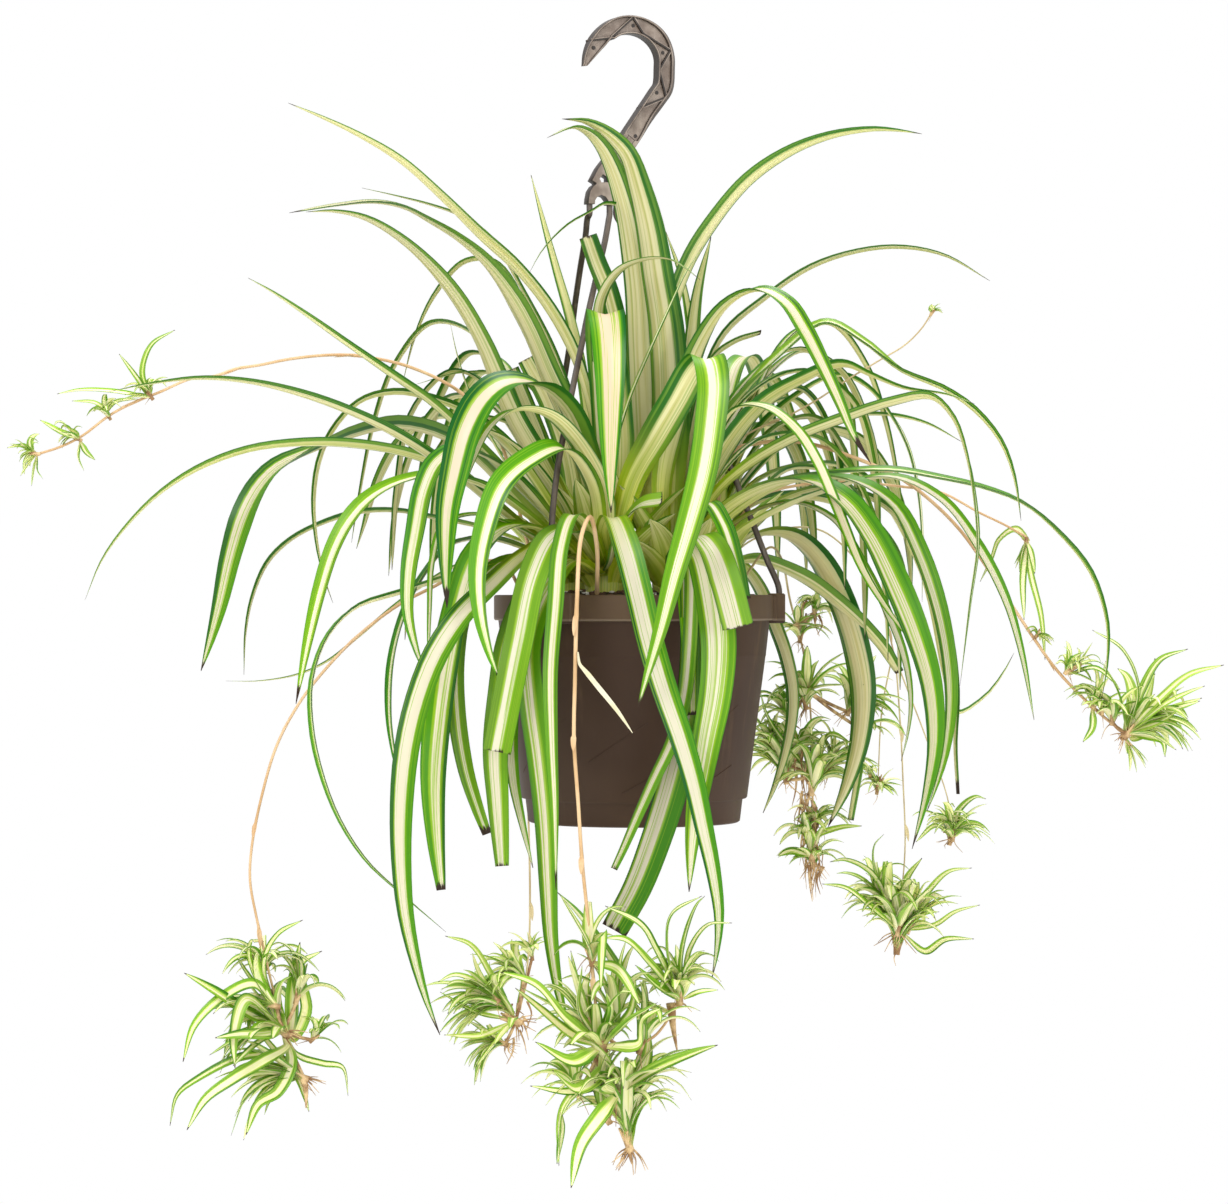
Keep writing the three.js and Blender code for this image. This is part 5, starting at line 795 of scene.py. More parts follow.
for name, (slim, courses) in runnerCourses.items():
    batch = newBatch()
    for index, numbers in enumerate(courses):
        points = frontPoints(numbers)
        if index == 0:
            points[0].z = (crownShape["top"] - 2) / 1000
        radius = runner["radius"] * slim * (1 if index == 0 else runner["branch"]) / 1000
        length = sum((b - a).length for a, b in zip(points, points[1:]))
        knots = max(2, round(length / runner["knotGap"]))

        def radiusAt(t):
            knot = abs((t * knots) % 1 - 0.5) * 2
            return radius * (1.05 - 0.35 * t + runner["knot"] * eased(0.92, 1.0, knot))

        addStem(batch, points, radiusAt, max(24, round(length / 0.005)))
        stations = smoothCourse(points, knots * 4, 0.0)[0]
        for place, after in zip(stations[8::4], stations[9::4]):
            ahead = (after - place).normalized()
            side = Vector((draw() - 0.5, -0.6, draw() - 0.5)).normalized()
            course = [place - ahead * 0.001, place + ahead * 0.004 + side * 0.0015,
                      place + ahead * (runner["bract"] / 1000) + side * 0.0035]
            addBlade(batch, course, runner["bractWidth"], (draw(), 0.5, 0.8, 0.2, 1.0), 8)
    skin = paleRunnerMaterial if slim < runner["paleUnder"] else runnerMaterial
    toPiece(batch, "runnerStem_" + name, skin, ["runner_" + name], 80)
bract = {"width": 4.6, "rolls": (-30, -50), "course": [577.5, 652, -151, 579, 664, -152, 585, 672, -153,
                                                      597, 687, -154, 616, 710, -153, 632.5, 733, -152]}
batch = newBatch()
addBlade(batch, frontPoints(bract["course"]), bract["width"], plainFacts, 16, bract["rolls"])
toPiece(batch, "runnerBract", bractMaterial)
print("runners made")

# Young plants: leaves from one or more hearts, with fleshy roots under them. Lengths are in millimetres.
young = {"width": 3.2, "growth": 0.1, "widest": 8.0, "seat": 0.85, "sink": 0.55, "clear": 1.3, "link": 1.1}
heartShape = {"core": 1.6, "coreGrowth": 0.06, "width": 2.4, "growth": 0.13, "widest": 9.5}


def aimAround(heading, least, spread, turn, depth, draw):
    # A random way within the spread around the heading; depth scales how far it leans to the back
    axis = math.radians(heading)
    tilt = math.radians(least + (spread - least) * math.sqrt(draw()))
    spin = draw() * turn
    across = upright(axis + math.pi / 2) * math.cos(spin) + Vector((0, depth * math.sin(spin), 0))
    return upright(axis) * math.cos(tilt) + across * math.sin(tilt)


def youngPoints(origin, heading, spread, length, draw):
    aim = aimAround(heading, 12, spread, math.pi, -1, draw)
    reach, sag = length * (0.65 + 0.6 * draw()), 0.15 + 0.35 * draw()
    return [origin + aim * (reach * t / 1000) + mm(0, 0, -sag * reach * t * t) for t in (0.5, 1)]


def heartPoints(origin, heading, spread, length, draw):
    aim = aimAround(heading, 8, spread, 2 * math.pi, 0.7, draw).normalized()
    reach, sag = length * (0.6 + 0.65 * draw()), 0.6 + 1.5 * draw()
    return growthCourse(origin, upright(math.radians(heading)), aim, reach, sag)


def rooted(origin, core, points):
    clear = [point for point in points if (point - origin).length > core * young["clear"] / 1000]
    return [origin + (clear[0] - origin).normalized() * (core * young["sink"] / 1000), *clear]


def addBuds(batch, origin, heading, core, draw):
    grow = upright(math.radians(heading))
    for i in range(6):
        lean = Vector((draw() - 0.5, draw() - 0.5, draw() - 0.5)) * 0.8
        tip = origin + (grow + lean).normalized() * (core * (1.3 + 1.0 * draw()) / 1000)
        points = [origin - grow * (core * 0.6 / 1000), origin + lean * (core * 0.35 / 1000), tip]
        addStem(batch, points, tapered(core * 0.45, 0.75), 6, 7)


def addRoots(batch, origin, heading, core, count, draw):
    for i in range(count):
        aim = upright(math.radians(heading) + math.pi + (draw() - 0.5) * 2.1)
        aim.y = (draw() - 0.5) * 0.8
        reach = core * (1.2 + 2.2 * draw()) / 1000
        bend = origin + aim * (reach * 0.5) + mm(draw() * 3 - 1.5, draw() * 3 - 1.5, 0)
        end = origin + aim * reach + mm(draw() * 3 - 1.5, 0, -2 * draw())
        addStem(batch, [origin, bend, end], tapered(core * 0.11, 0.7), 7, 6)


def addStrands(batch, top, bottom, count, length, draw):
    # Dry roots and old leaves that hang along a runner
    for i in range(count):
        start = top.lerp(bottom, draw()) + mm(12 * draw() - 6, 8 * draw() - 4, 0)
        fall = mm(10 * draw() - 5, 6 * draw() - 3, -length * (0.5 + 0.7 * draw()))
        side = mm(6 * draw() - 3, 4 * draw() - 2, 0)
        thick = 0.4 + 0.7 * draw()
        addStem(batch, [start, start + fall * 0.5 + side, start + fall], tapered(thick, 0.8), 8, 6)


# Place, heading, count of small leaves, length, spread, core, roots, then the main leaves with their widths, and more
# hearts: place, heading, leaves, length, spread and roots. Then what is a plant's own: yellow share, fuller hearts, a
# stub of root with its radius, strands with their count and length, and a leaf that stands apart.
youngPlants = {
    "left_a": ([152, 398, -4], 130, 2, 20, 50, 2.6, 0, [[5, 150, 397, -4, 143, 372, -4, 152, 345, -4, 175, 330,
     -4], [5, 148, 396, -4, 136, 378, -8, 119, 354, -10], [4, 148, 397, -4, 110, 391, -10, 80, 390, -12, 57,
     394, -12]], [[150, 396, -4, 110, 10, 18, 80]], {}),
    "left_b": ([110, 418, -4], 120, 2, 16, 55, 2.4, 0, [[3.5, 107, 412, -4, 95, 403, -8, 72, 401, -8], [3.5,
     108, 411, -4, 116, 402, -2, 138, 399, 0]], [[106, 412, -4, 110, 10, 14, 90]], {}),
    "left_c": ([80, 440, -4], 165, 2, 20, 60, 2.6, 0, [[5, 76, 440, -4, 60, 432, -8, 40, 420, -10], [4, 78, 441,
     -4, 78, 458, 0, 84, 471, 2], [4, 80, 442, -4, 86, 452, -8, 95, 460, -10]], [[76, 438, -4, 140, 12, 16,
     90]], {}),
    "left_d": ([38, 454, -4], 180, 3, 16, 80, 2.8, 0, [[3.5, 34, 452, -4, 20, 446, -6, 7, 448, -8], [3.5, 36,
     456, -4, 37, 470, -2, 43, 479, 0]], [[34, 453, -4, 160, 14, 15, 110]], {}),
    "low_left": ([284, 1030, -24], 130, 3, 46, 75, 6, 3, [[10, 280, 1030, -28, 245, 1012, -40, 215, 992, -48,
     184, 973, -54], [8, 278, 1024, -26, 255, 985, -36, 222, 998, -44, 195, 1025, -48, 183, 1062, -50], [9, 288,
     1045, -30, 262, 1062, -44, 232, 1080, -52, 205, 1100, -56, 187, 1130, -58], [7, 286, 1050, -20, 240, 1058,
     -20, 200, 1078, -20, 178, 1095, -20, 170, 1126, -20], [9, 292, 1060, -28, 278, 1092, -36, 258, 1105, -40,
     246, 1135, -42], [8, 282, 1022, -26, 265, 965, -30, 278, 935, -32, 303, 920, -34], [9, 290, 1030, -22, 292,
     990, -18, 300, 942, -16], [8, 292, 1040, -20, 306, 1010, -10, 300, 965, -4, 322, 951, -2], [6, 296, 1055,
     -24, 322, 1064, -14, 342, 1068, -8, 348, 1096, -6], [9, 278, 1028, -30, 246, 1000, -46, 234, 1035, -54,
     235, 1068, -56], [8, 290, 1062, -24, 300, 1085, -24, 309, 1112, -24], [9, 286, 1042, -32, 262, 1035, -48,
     240, 1035, -56, 215, 1038, -60], [5, 292, 1058, -14, 262, 1085, -6, 245, 1100, -2, 231, 1136, 0]], [[304,
     1078, -26, 165, 20, 52, 80, 10], [287, 1034, -30, 140, 20, 50, 90], [264, 972, -22, 95, 16, 36, 100], [297,
     1000, -20, 70, 12, 40, 60], [312, 1040, -18, 40, 10, 26, 90], [276, 1006, -34, 160, 12, 44, 80]],
     {"yellow": 0.15, "stub": [2.6, 303, 1076, -26, 306, 1092, -26, 306, 1108, -26]}),
    "front_high": ([592, 962, -150], 90, 2, 40, 40, 3.6, 2, [[8, 592, 962, -152, 588, 945, -166, 560, 895,
     -174], [8, 594, 962, -152, 604, 940, -168, 604, 936, -172, 601, 990, -180], [7, 596, 966, -150, 618, 970,
     -164, 640, 1005, -172]], [[590, 955, -152, 100, 6, 34, 70]], {}),
    "front": ([602, 1046, -150], 110, 3, 62, 65, 6, 0, [[10, 598, 1046, -156, 565, 1020, -176, 535, 985, -186,
     500, 972, -192], [9, 598, 1050, -154, 570, 1035, -170, 540, 1010, -178, 515, 988, -182], [10, 600, 1060,
     -156, 570, 1062, -176, 535, 1042, -186], [9, 602, 1070, -156, 575, 1090, -176, 552, 1070, -184], [7, 602,
     1080, -154, 570, 1092, -166, 530, 1086, -172], [8, 606, 1046, -154, 612, 1010, -164, 606, 992, -168], [9,
     598, 1048, -152, 578, 1010, -160, 582, 965, -164], [9, 608, 1050, -150, 632, 1012, -158, 636, 975, -162],
     [9, 610, 1055, -152, 640, 1045, -164, 644, 1020, -168, 662, 1008, -172], [6, 600, 1075, -150, 572, 1095,
     -150, 561, 1115, -150, 559, 1166, -150]], [[600, 1062, -152, 95, 16, 52, 65], [578, 1094, -152, 110, 12,
     38, 75], [614, 1030, -150, 88, 14, 46, 55], [640, 1050, -148, 70, 10, 40, 50], [590, 1030, -150, 115, 12,
     44, 60]], {"yellow": 0.35}),
    "front_low": ([618, 1092, -150], 50, 2, 50, 55, 5.5, 4, [[10, 620, 1090, -156, 655, 1070, -170, 690, 1055,
     -178, 718, 1045, -182], [10, 618, 1098, -158, 598, 1118, -178, 580, 1145, -186, 571, 1188, -188], [9, 622,
     1095, -150, 644, 1065, -144, 650, 1032, -142], [9, 616, 1092, -160, 605, 1085, -180, 620, 1078, -188]],
     [[630, 1146, -150, 96, 22, 64, 42, 14], [622, 1112, -150, 85, 14, 50, 60], [608, 1120, -154, 120, 10, 44,
     60]], {"yellow": 0.35, "fuller": 1.15, "stub": [3.2, 628, 1130, -150, 629, 1150, -150, 632, 1164, -150],
     "lone": [[4.5, 561, 1112, -150, 562, 1130, -150, 559, 1150, -150, 557, 1164, -150]]}),
    "front_right": ([680, 1000, -138], 95, 2, 34, 60, 4.2, 1, [[9, 678, 996, -142, 655, 950, -156, 640, 925,
     -162, 605, 906, -166], [9, 676, 998, -142, 650, 965, -160, 625, 940, -168, 603, 938, -172], [7, 680, 994,
     -140, 668, 950, -150, 672, 915, -154, 702, 896, -156], [7, 682, 994, -140, 684, 945, -146, 697, 905, -148,
     705, 896, -150], [4, 684, 994, -138, 690, 950, -138, 708, 925, -138, 732, 923, -138], [4, 686, 998, -138,
     700, 992, -142, 718, 990, -144], [9, 676, 1000, -144, 655, 985, -160, 635, 965, -166]], [[679, 1002, -140,
     92, 18, 40, 75], [680, 985, -142, 95, 10, 34, 80]], {"yellow": 0.3, "stub": [3.0, 671, 1003, -139, 673,
     1026, -139, 677, 1050, -139], "lone": [[7.5, 668, 1012, -140, 645, 1003, -138, 622, 975, -134, 600, 942,
     -130, 577, 912, -126, 557, 892, -122]]}),
    "back_left": ([516, 1020, 102], 150, 5, 34, 75, 6, 3, [[7, 512, 1012, 100, 490, 975, 92, 470, 945, 86, 445,
     936, 82], [6, 512, 1018, 100, 480, 985, 92, 455, 975, 86, 438, 982, 84], [4, 514, 1020, 100, 475, 1012, 92,
     440, 992, 88], [5, 518, 1010, 104, 524, 980, 110, 516, 940, 112], [5, 514, 1028, 98, 480, 1036, 88, 444,
     1035, 84]], [[524, 978, 100, 140, 18, 34, 85], [510, 1012, 98, 150, 20, 42, 75], [505, 1044, 100, 165, 18,
     32, 85, 8], [496, 1000, 92, 150, 12, 40, 60], [532, 958, 104, 100, 10, 22, 70]], {"yellow": 0.9, "fuller":
     1.5, "strands": [12, 14, 520, 1000, 99, 508, 1044, 99]}),
    "right_a": ([1036, 636, 6], 60, 2, 14, 70, 2.4, 0, [], [[1036, 636, 4, 50, 8, 12, 100]], {}),
    "right_b": ([1066, 672, 6], 45, 2, 20, 60, 2.8, 0, [[4, 1068, 670, 6, 1072, 660, 4, 1084, 652, 2], [4, 1070,
     674, 6, 1095, 668, 0, 1112, 680, -4, 1120, 690, -6]], [[1066, 672, 4, 60, 12, 20, 90], [1074, 668, 2, 30,
     8, 20, 80]], {"yellow": 0.9}),
    "right_c": ([1092, 706, 6], 40, 2, 15, 70, 2.8, 0, [[5, 1092, 710, 6, 1092, 728, 0, 1083, 742, -4], [4,
     1090, 704, 6, 1084, 688, 2, 1078, 686, 0]], [[1094, 706, 2, 60, 14, 24, 100], [1102, 712, 0, 90, 10, 26,
     90]], {"yellow": 1.0}),
    "right": ([1126, 734, 6], 50, 3, 38, 65, 5, 3, [[7, 1128, 730, 2, 1138, 690, -8, 1122, 650, -14, 1092, 630,
     -16], [6, 1130, 730, 6, 1142, 690, 12, 1160, 660, 16, 1188, 649, 18], [7, 1132, 730, 2, 1160, 700, -10,
     1190, 675, -16, 1224, 665, -18], [6, 1132, 732, 0, 1165, 705, -14, 1190, 692, -20, 1205, 686, -22], [6,
     1134, 734, 8, 1170, 710, 20, 1202, 698, 26], [7, 1134, 736, 6, 1170, 712, 8, 1200, 701, 8], [6, 1134, 738,
     2, 1165, 720, -8, 1178, 710, -10], [6, 1132, 740, 10, 1165, 722, 24, 1178, 722, 28, 1184, 737, 30], [6,
     1130, 742, 4, 1150, 738, 0, 1162, 742, -2, 1165, 757, -2], [5, 1126, 742, 6, 1127, 754, 8], [6, 1126, 728,
     0, 1118, 692, -10, 1102, 662, -16], [6, 1130, 730, 10, 1146, 700, 20, 1155, 658, 24]], [[1124, 736, 4, 45,
     26, 46, 70], [1140, 724, 4, 30, 16, 36, 70], [1112, 722, 2, 80, 12, 30, 80], [1126, 740, 6, 300, 6, 18,
     50]], {"yellow": 1.0}),
    "mid_right": ([1026, 540, 14], 270, 2, 20, 40, 2.8, 0, [[6, 1026, 545, 14, 1030, 575, 12, 1040, 615, 12,
     1045, 660, 12], [6, 1028, 542, 16, 1016, 530, 20, 1000, 540, 24, 992, 560, 26, 980, 582, 28], [6, 1024,
     545, 12, 1022, 580, 8, 1024, 620, 6]], [[1026, 542, 14, 270, 6, 18, 60]], {}),
    "high_right": ([931, 314, 12], 70, 2, 7, 50, 1.9, 0, [], [[931, 314, 12, 65, 8, 8, 70]], {}),
    "back_right": ([811, 856, 108], 95, 4, 40, 35, 5, 3, [[7, 806, 850, 104, 790, 852, 98, 778, 856, 96], [6,
     812, 840, 104, 840, 828, 96, 862, 826, 92]], [[813, 866, 106, 95, 14, 26, 80], [808, 840, 104, 100, 12, 26,
     90], [816, 825, 106, 85, 12, 28, 90]], {"yellow": 0.8, "fuller": 1.5, "strands": [46, 22, 806, 790, 105,
     816, 868, 106]}),
    "back_right_mid": ([812, 775, 108], 80, 4, 50, 85, 5.5, 0, [[6, 808, 770, 104, 778, 735, 94, 765, 712, 90,
     760, 690, 88], [6, 816, 768, 104, 830, 735, 96, 850, 742, 92]], [[812, 792, 104, 80, 20, 44, 70], [786,
     780, 104, 98, 20, 44, 65], [800, 760, 106, 92, 16, 40, 75], [828, 770, 106, 60, 12, 34, 70], [776, 756,
     106, 105, 12, 36, 60]], {"yellow": 0.7, "fuller": 1.4, "strands": [18, 18, 800, 730, 105, 808, 800, 105]}),
    "back_right_low": ([806, 690, 108], 90, 4, 40, 80, 4.5, 0, [], [[848, 712, 110, 62, 18, 40, 75], [806, 706,
     106, 90, 14, 38, 80], [790, 722, 108, 105, 12, 34, 70], [862, 730, 112, 50, 10, 30, 80]], {"yellow": 0.7,
     "fuller": 1.4}),
    "back_right_dry": ([797, 625, 106], 20, 3, 22, 85, 3.5, 0, [], [[815, 612, 106, 60, 14, 22, 100], [800, 640,
     108, 90, 8, 26, 90]], {"fuller": 1.5, "strands": [10, 14, 812, 596, 106, 814, 622, 107]}),
    "far_right": ([898, 930, 134], 80, 3, 46, 45, 5.5, 4, [[7, 894, 925, 130, 872, 875, 120, 845, 860, 114, 830,
     862, 112], [6, 892, 925, 128, 868, 905, 118, 845, 888, 112, 822, 884, 110], [6, 896, 920, 132, 874, 870,
     126, 874, 845, 124, 884, 834, 124], [5, 900, 925, 136, 925, 895, 146, 948, 872, 150, 972, 868, 152], [6,
     902, 930, 134, 925, 952, 138, 945, 940, 140, 974, 939, 142], [4, 902, 930, 136, 935, 925, 146, 955, 912,
     148, 980, 905, 150], [6, 898, 920, 134, 906, 880, 140, 922, 858, 142]], [[897, 950, 132, 85, 26, 54, 50],
     [890, 920, 132, 100, 16, 44, 70], [908, 930, 134, 70, 14, 44, 70], [880, 900, 132, 110, 10, 34, 60]],
     {"yellow": 0.6, "fuller": 1.3}),
    "far_right_small": ([953, 838, 134], 70, 2, 26, 60, 3.4, 2, [[4, 950, 835, 132, 935, 826, 124, 916, 842,
     120], [5, 955, 832, 134, 958, 812, 138, 975, 797, 140, 986, 799, 142], [4, 957, 834, 136, 975, 826, 144,
     990, 835, 146]], [[950, 842, 134, 75, 16, 30, 80], [945, 830, 134, 90, 8, 24, 80]], {"fuller": 1.4}),
    "far_right_mini": ([878, 784, 134], 60, 4, 16, 80, 3, 1, [[4, 875, 782, 132, 868, 768, 128, 860, 760, 126],
     [4, 881, 784, 134, 893, 790, 138, 898, 796, 140]], [[877, 792, 134, 80, 16, 18, 90], [870, 776, 134, 90, 8,
     16, 80]], {}),
}


for order, (name, entry) in enumerate(youngPlants.items()):
    place, heading, count, length, spread, core, roots, mainLeaves, hearts, own = entry
    draw, extra = seeded(1000 + order * 37), seeded(4000 + order * 53)
    origin = frontPoints(place)[0]
    origin.y -= core * young["seat"] / 1000
    leaves, buds = newBatch(), newBatch()
    yellow = own.get("yellow", 0.5)
    for width, *numbers in mainLeaves:
        facts = (extra(), 0.02, 0.1 + 0.5 * extra(), yellow * extra(), 0.3 * extra())
        addBlade(leaves, rooted(origin, core, frontPoints(numbers)), width, facts, 24, (-50,))
    for width, *numbers in own.get("lone", []):
        addBlade(leaves, frontPoints(numbers), width, (0.2, 0.02, 0.2, 0.3, 0.5), 24, (70,))
    width = min(young["widest"], young["width"] + length * young["growth"])
    for i in range(count):
        points = rooted(origin, core, youngPoints(origin, heading, spread, length, draw))
        facts = (draw(), 0.03, 0.2 + 0.7 * draw(), yellow * (0.3 + 0.7 * draw()), 0.2 * draw())
        addBlade(leaves, points, width, facts, 16)
    addBuds(buds, origin, heading, core, extra)
    if "stub" in own:
        radius, *numbers = own["stub"]
        addStem(buds, frontPoints(numbers), tapered(radius, 0.85), 10)
    addRoots(buds, origin, heading, core, roots * 2, extra)
    for column, row, depth, heartHeading, heartLeaves, heartLength, heartSpread, *heartRoots in hearts:
        heart = frontPoints((column, row, depth))[0]
        small = min(core, heartShape["core"] + heartLength * heartShape["coreGrowth"])
        widest = min(heartShape["widest"], heartShape["width"] + heartLength * heartShape["growth"])
        if (heart - origin).length > 0.004:
            link = [origin, origin.lerp(heart, 0.5) + mm(0, 1.5, -1), heart]
            addStem(buds, link, tapered(young["link"], 0), 8, 6)
        for i in range(round(heartLeaves * own.get("fuller", 1.0))):
            points = heartPoints(heart, heartHeading, heartSpread, heartLength, extra)
            width = widest * (0.55 + 0.55 * extra())
            facts = (extra(), 0.03 * extra(), 0.2 + 0.8 * extra(), yellow * (0.3 + 0.7 * extra()), 0.3 * extra())
            addBlade(leaves, points, width, facts, 14, (60 * extra() - 30,))
        addBuds(buds, heart, heartHeading, small, extra)
        rootCount = heartRoots[0] if heartRoots else 7 if name.startswith("back_right") else 1
        addRoots(buds, heart, heartHeading, small, rootCount, extra)
    if "strands" in own:
        strandCount, strandLength, *numbers = own["strands"]
        addStrands(buds, *frontPoints(numbers), strandCount, strandLength, extra)
    toPiece(leaves, "youngLeaves_" + name, youngLeafMaterial, ["plantlet_" + name])
    toPiece(buds, "youngRoots_" + name, budMaterial, angle=60)
print("young plants made")

# Pot: radius and height in millimetres
potAxis = 4.4
potShape = {"segments": 144, "wallFoot": (70.7, -476.4), "wallTop": (84.6, -367.6)}
potProfile = [
    (0, -491.2), (50, -491.2), (58, -491.6), (60, -492), (65.2, -492), (66.2, -491.2), (67.8, -477.8),
    (68.3, -477.1), (70.2, -477.0), (70.7, -476.4), (82.1, -389.0), (82.35, -388.4), (82.45, -387.4), (82.5, -386.6),
    (84.6, -367.6), (84.8, -366.4), (86.8, -366.3), (87.4, -365.6), (87.5, -364.6), (87.5, -352.2), (87.2, -351.1),
    (86.4, -350.6), (85.6, -350.6), (84.9, -351.1), (84.2, -356.6), (82.5, -366.3), (65.6, -476.9), (64.0, -489.4),
    (0, -489.4),
]
lugs = {"angles": (0, 120, 240), "middle": 88.9, "halfReach": 5.2, "halfWidth": 9.8, "top": -349.6, "bottom": -368.2,
        "edge": 0.9, "brace": (2.2, 0.9, 7.6, 0.4), "braceOut": 1.2, "braceIn": 2.3}
wallLines = {"thick": 0.32, "steps": 10, "spots": (
    (-112, -452, -84, -428), (-96, -471, -83, -462), (-50, -430, -36, -418), (-48, -462, -36, -455),
    (-140, -440, -122, -425), (60, -450, 84, -428), (140, -440, 160, -425), (200, -460, 216, -446),
)}


def addBlock(batch, centre, out, halfReach, halfWidth, halfHeight, edge):
    side = Vector((-out.y, out.x, 0))
    rings = []
    for lift, inset in ((-1, edge), (-1 + edge / halfHeight, 0), (1 - edge / halfHeight, 0), (1, edge)):
        ring = []
        for a, b in ((-1, -1), (1, -1), (1, 1), (-1, 1)):
            for cutReach, cutWidth in ((edge, 0), (0, edge)) if a * b < 0 else ((0, edge), (edge, 0)):
                reach, width = a * (halfReach - inset - cutReach), b * (halfWidth - inset - cutWidth)
                ring.append(centre + (out * reach + side * width) / 1000 + mm(0, 0, lift * halfHeight))
        rings.append(ring)
    addTube(batch, rings)


def wallPoint(degrees, height):
    (footRadius, foot), (topRadius, top) = potShape["wallFoot"], potShape["wallTop"]
    radius = mixed(footRadius, topRadius, (height - foot) / (top - foot))
    return mm(potAxis, 0, height) + level(math.radians(degrees)) * (radius / 1000)


batch = newBatch()
addLathe(batch, mm(potAxis, 0, 0), potProfile, potShape["segments"])
for degrees in lugs["angles"]:
    out = level(math.radians(degrees))
    side = Vector((-out.y, out.x, 0))
    centre = mm(potAxis, 0, (lugs["top"] + lugs["bottom"]) / 2) + out * (lugs["middle"] / 1000)
    halfHeight = (lugs["top"] - lugs["bottom"]) / 2
    addBlock(batch, centre, out, lugs["halfReach"], lugs["halfWidth"], halfHeight, lugs["edge"])
    for way in (-1, 1):
        shift = side * (way * (lugs["halfWidth"] + lugs["braceOut"])) - out * lugs["braceIn"]
        addBlock(batch, centre + shift / 1000, out, *lugs["brace"])
# Faint moulded lines on the wall
for low, lowHeight, high, highHeight in wallLines["spots"]:
    shares = [k / wallLines["steps"] for k in range(wallLines["steps"] + 1)]
    points = [wallPoint(mixed(low, high, share), mixed(lowHeight, highHeight, share)) for share in shares]
    addStem(batch, points, tapered(wallLines["thick"], 0), 16, 6)
toPiece(batch, "pot", potPlastic, ["pot"], 35)
print("pot made")

# Soil: damp potting mix, rough, dark and uneven, with bark bits and white grains
soilLook = {"first": "#241c16", "second": "#3b2e24", "patch": 2.381, "detail": 6.0, "blend": (0.4, 0.62), "bump": 0.9,
            "roughness": 0.95, "ior": 1.35}
soilShape = {"radius": 83.4, "top": -353.0, "middle": -347.8, "rings": 26, "segments": 96, "crumb": 1.6,
             "profile": [(0.02, -489.0), (63.6, -489.0), (65.2, -476.9), (81.9, -367.0), (82.0, -356)]}
soilBits = {"whiteGrains": ("#d9d4c8", 150, 1.5), "barkBits": ("#5a4331", 260, 2.2)}


def soilHeight(radius):
    return mixed(soilShape["top"], soilShape["middle"], 1 - (radius / soilShape["radius"]) ** 2)


draw = seeded(77)
angles = circle(soilShape["segments"])
middle = mm(potAxis, 0, 0)
rings = [[middle + level(a) * (radius / 1000) + mm(0, 0, height) for a in angles]
         for radius, height in soilShape["profile"]]
for step in range(soilShape["rings"], -1, -1):
    radius = max(0.05, (soilShape["radius"] - 1.0) * step / soilShape["rings"])
    ring = []
    for a in angles:
        height = soilHeight(radius) + (draw() - 0.6) * soilShape["crumb"]
        ring.append(middle + level(a) * (radius / 1000) + mm(0, 0, height))
    rings.append(ring)
batch = newBatch()
addTube(batch, rings)
toPiece(batch, "pottingMix", patchyMaterial("damp potting mix", soilLook), ["soil"], 60)
for label, (colour, count, width) in soilBits.items():
    batch = newBatch()
    for i in range(count):
        radius = 80 * math.sqrt(draw())
        centre = middle + level(draw() * 2 * math.pi) * (radius / 1000) + mm(0, 0, soilHeight(radius) + 0.3)
        scale = width * (0.5 + 0.8 * draw())
        turn = draw() * math.pi
        addTube(batch, [
            [centre + mm(scale * share * math.cos(a) * (0.8 + 0.4 * draw()),
                         scale * share * math.sin(a) * (0.6 + 0.3 * draw()), scale * lift * 0.7)
             for a in circle(6, turn)]
            for share, lift in ((0.5, -0.7), (1.0, -0.1), (0.9, 0.4), (0.4, 0.8))
        ])
    toPiece(batch, label, plainMaterial(label, colour, 0.9), angle=30)
print("soil made")

# Hook: a band with thin flanges, a sunk web, zigzag ribs and a tip cut on the slant
hook = {"yaw": 27, "origin": (627, 34), "half": 5.7, "thick": 4.0, "flange": 1.3, "web": 1.9, "rib": 0.55,
        "ribEdge": 1.9, "ribSunk": 0.45, "centre": (630.3, 60), "crownRow": 24.9, "wider": 1.1, "stations": 120,
        "neck": ((663, 84), (657, 94), (640.5, 120), (624, 146), (611.5, 165.6)), "cut": ((585.5, 71.2), (609.5, 40)),
        "cutShare": 0.3, "least": 0.1, "mark": 1.2, "edge": 0.35, "outerCut": 2.6, "tipWiden": 4.6, "tipThick": 1.2,
        "tipShare": 0.09, "widenShare": 0.16, "bulge": 1.2, "closedFrom": 0.86}
hookRibs = [(588.5, 44.3), (608.5, 40.4), (631, 18), (641, 33), (668.3, 48), (657.2, 68), (664, 95), (639, 107)]
hookMarks = [(592.5, 51), (631.7, 25.7), (661.5, 50.5), (655.5, 91), (634, 136)]
yaw = math.radians(hook["yaw"])


def hookPoint(column, row):
    x, y = (column - hook["origin"][0]) * camera["step"], (hook["origin"][1] - row) * camera["step"]
    return Vector((x / math.cos(yaw), y, 0))


def hookPlace(flat, depth=0.0):
    return (level(yaw) * flat.x + Vector((0, 0, flat.y)) + level(yaw + math.pi / 2) * depth) / 1000


centre = hookPoint(*hook["centre"])
throat = hookPoint(hook["centre"][0], hook["crownRow"]).y - centre.y
bow = [level(math.radians(a)) * throat for a in range(192, -11, -11)]
flatCourse = [centre + Vector((point.x * hook["wider"], point.y, 0)) for point in bow]
flatCourse += [hookPoint(*place) for place in hook["neck"]]
hookCourse, hookShares = smoothCourse(flatCourse, hook["stations"], 0.0)
cutStart, cutEnd = (hookPoint(*place) for place in hook["cut"])


def outerEdge(share):
    tip = hook["tipWiden"] * max(0.0, 1 - share / hook["widenShare"]) ** 2
    return hook["half"] + tip + hook["bulge"] * eased(0.3, 0.42, share) * (1 - eased(0.62, 0.8, share))


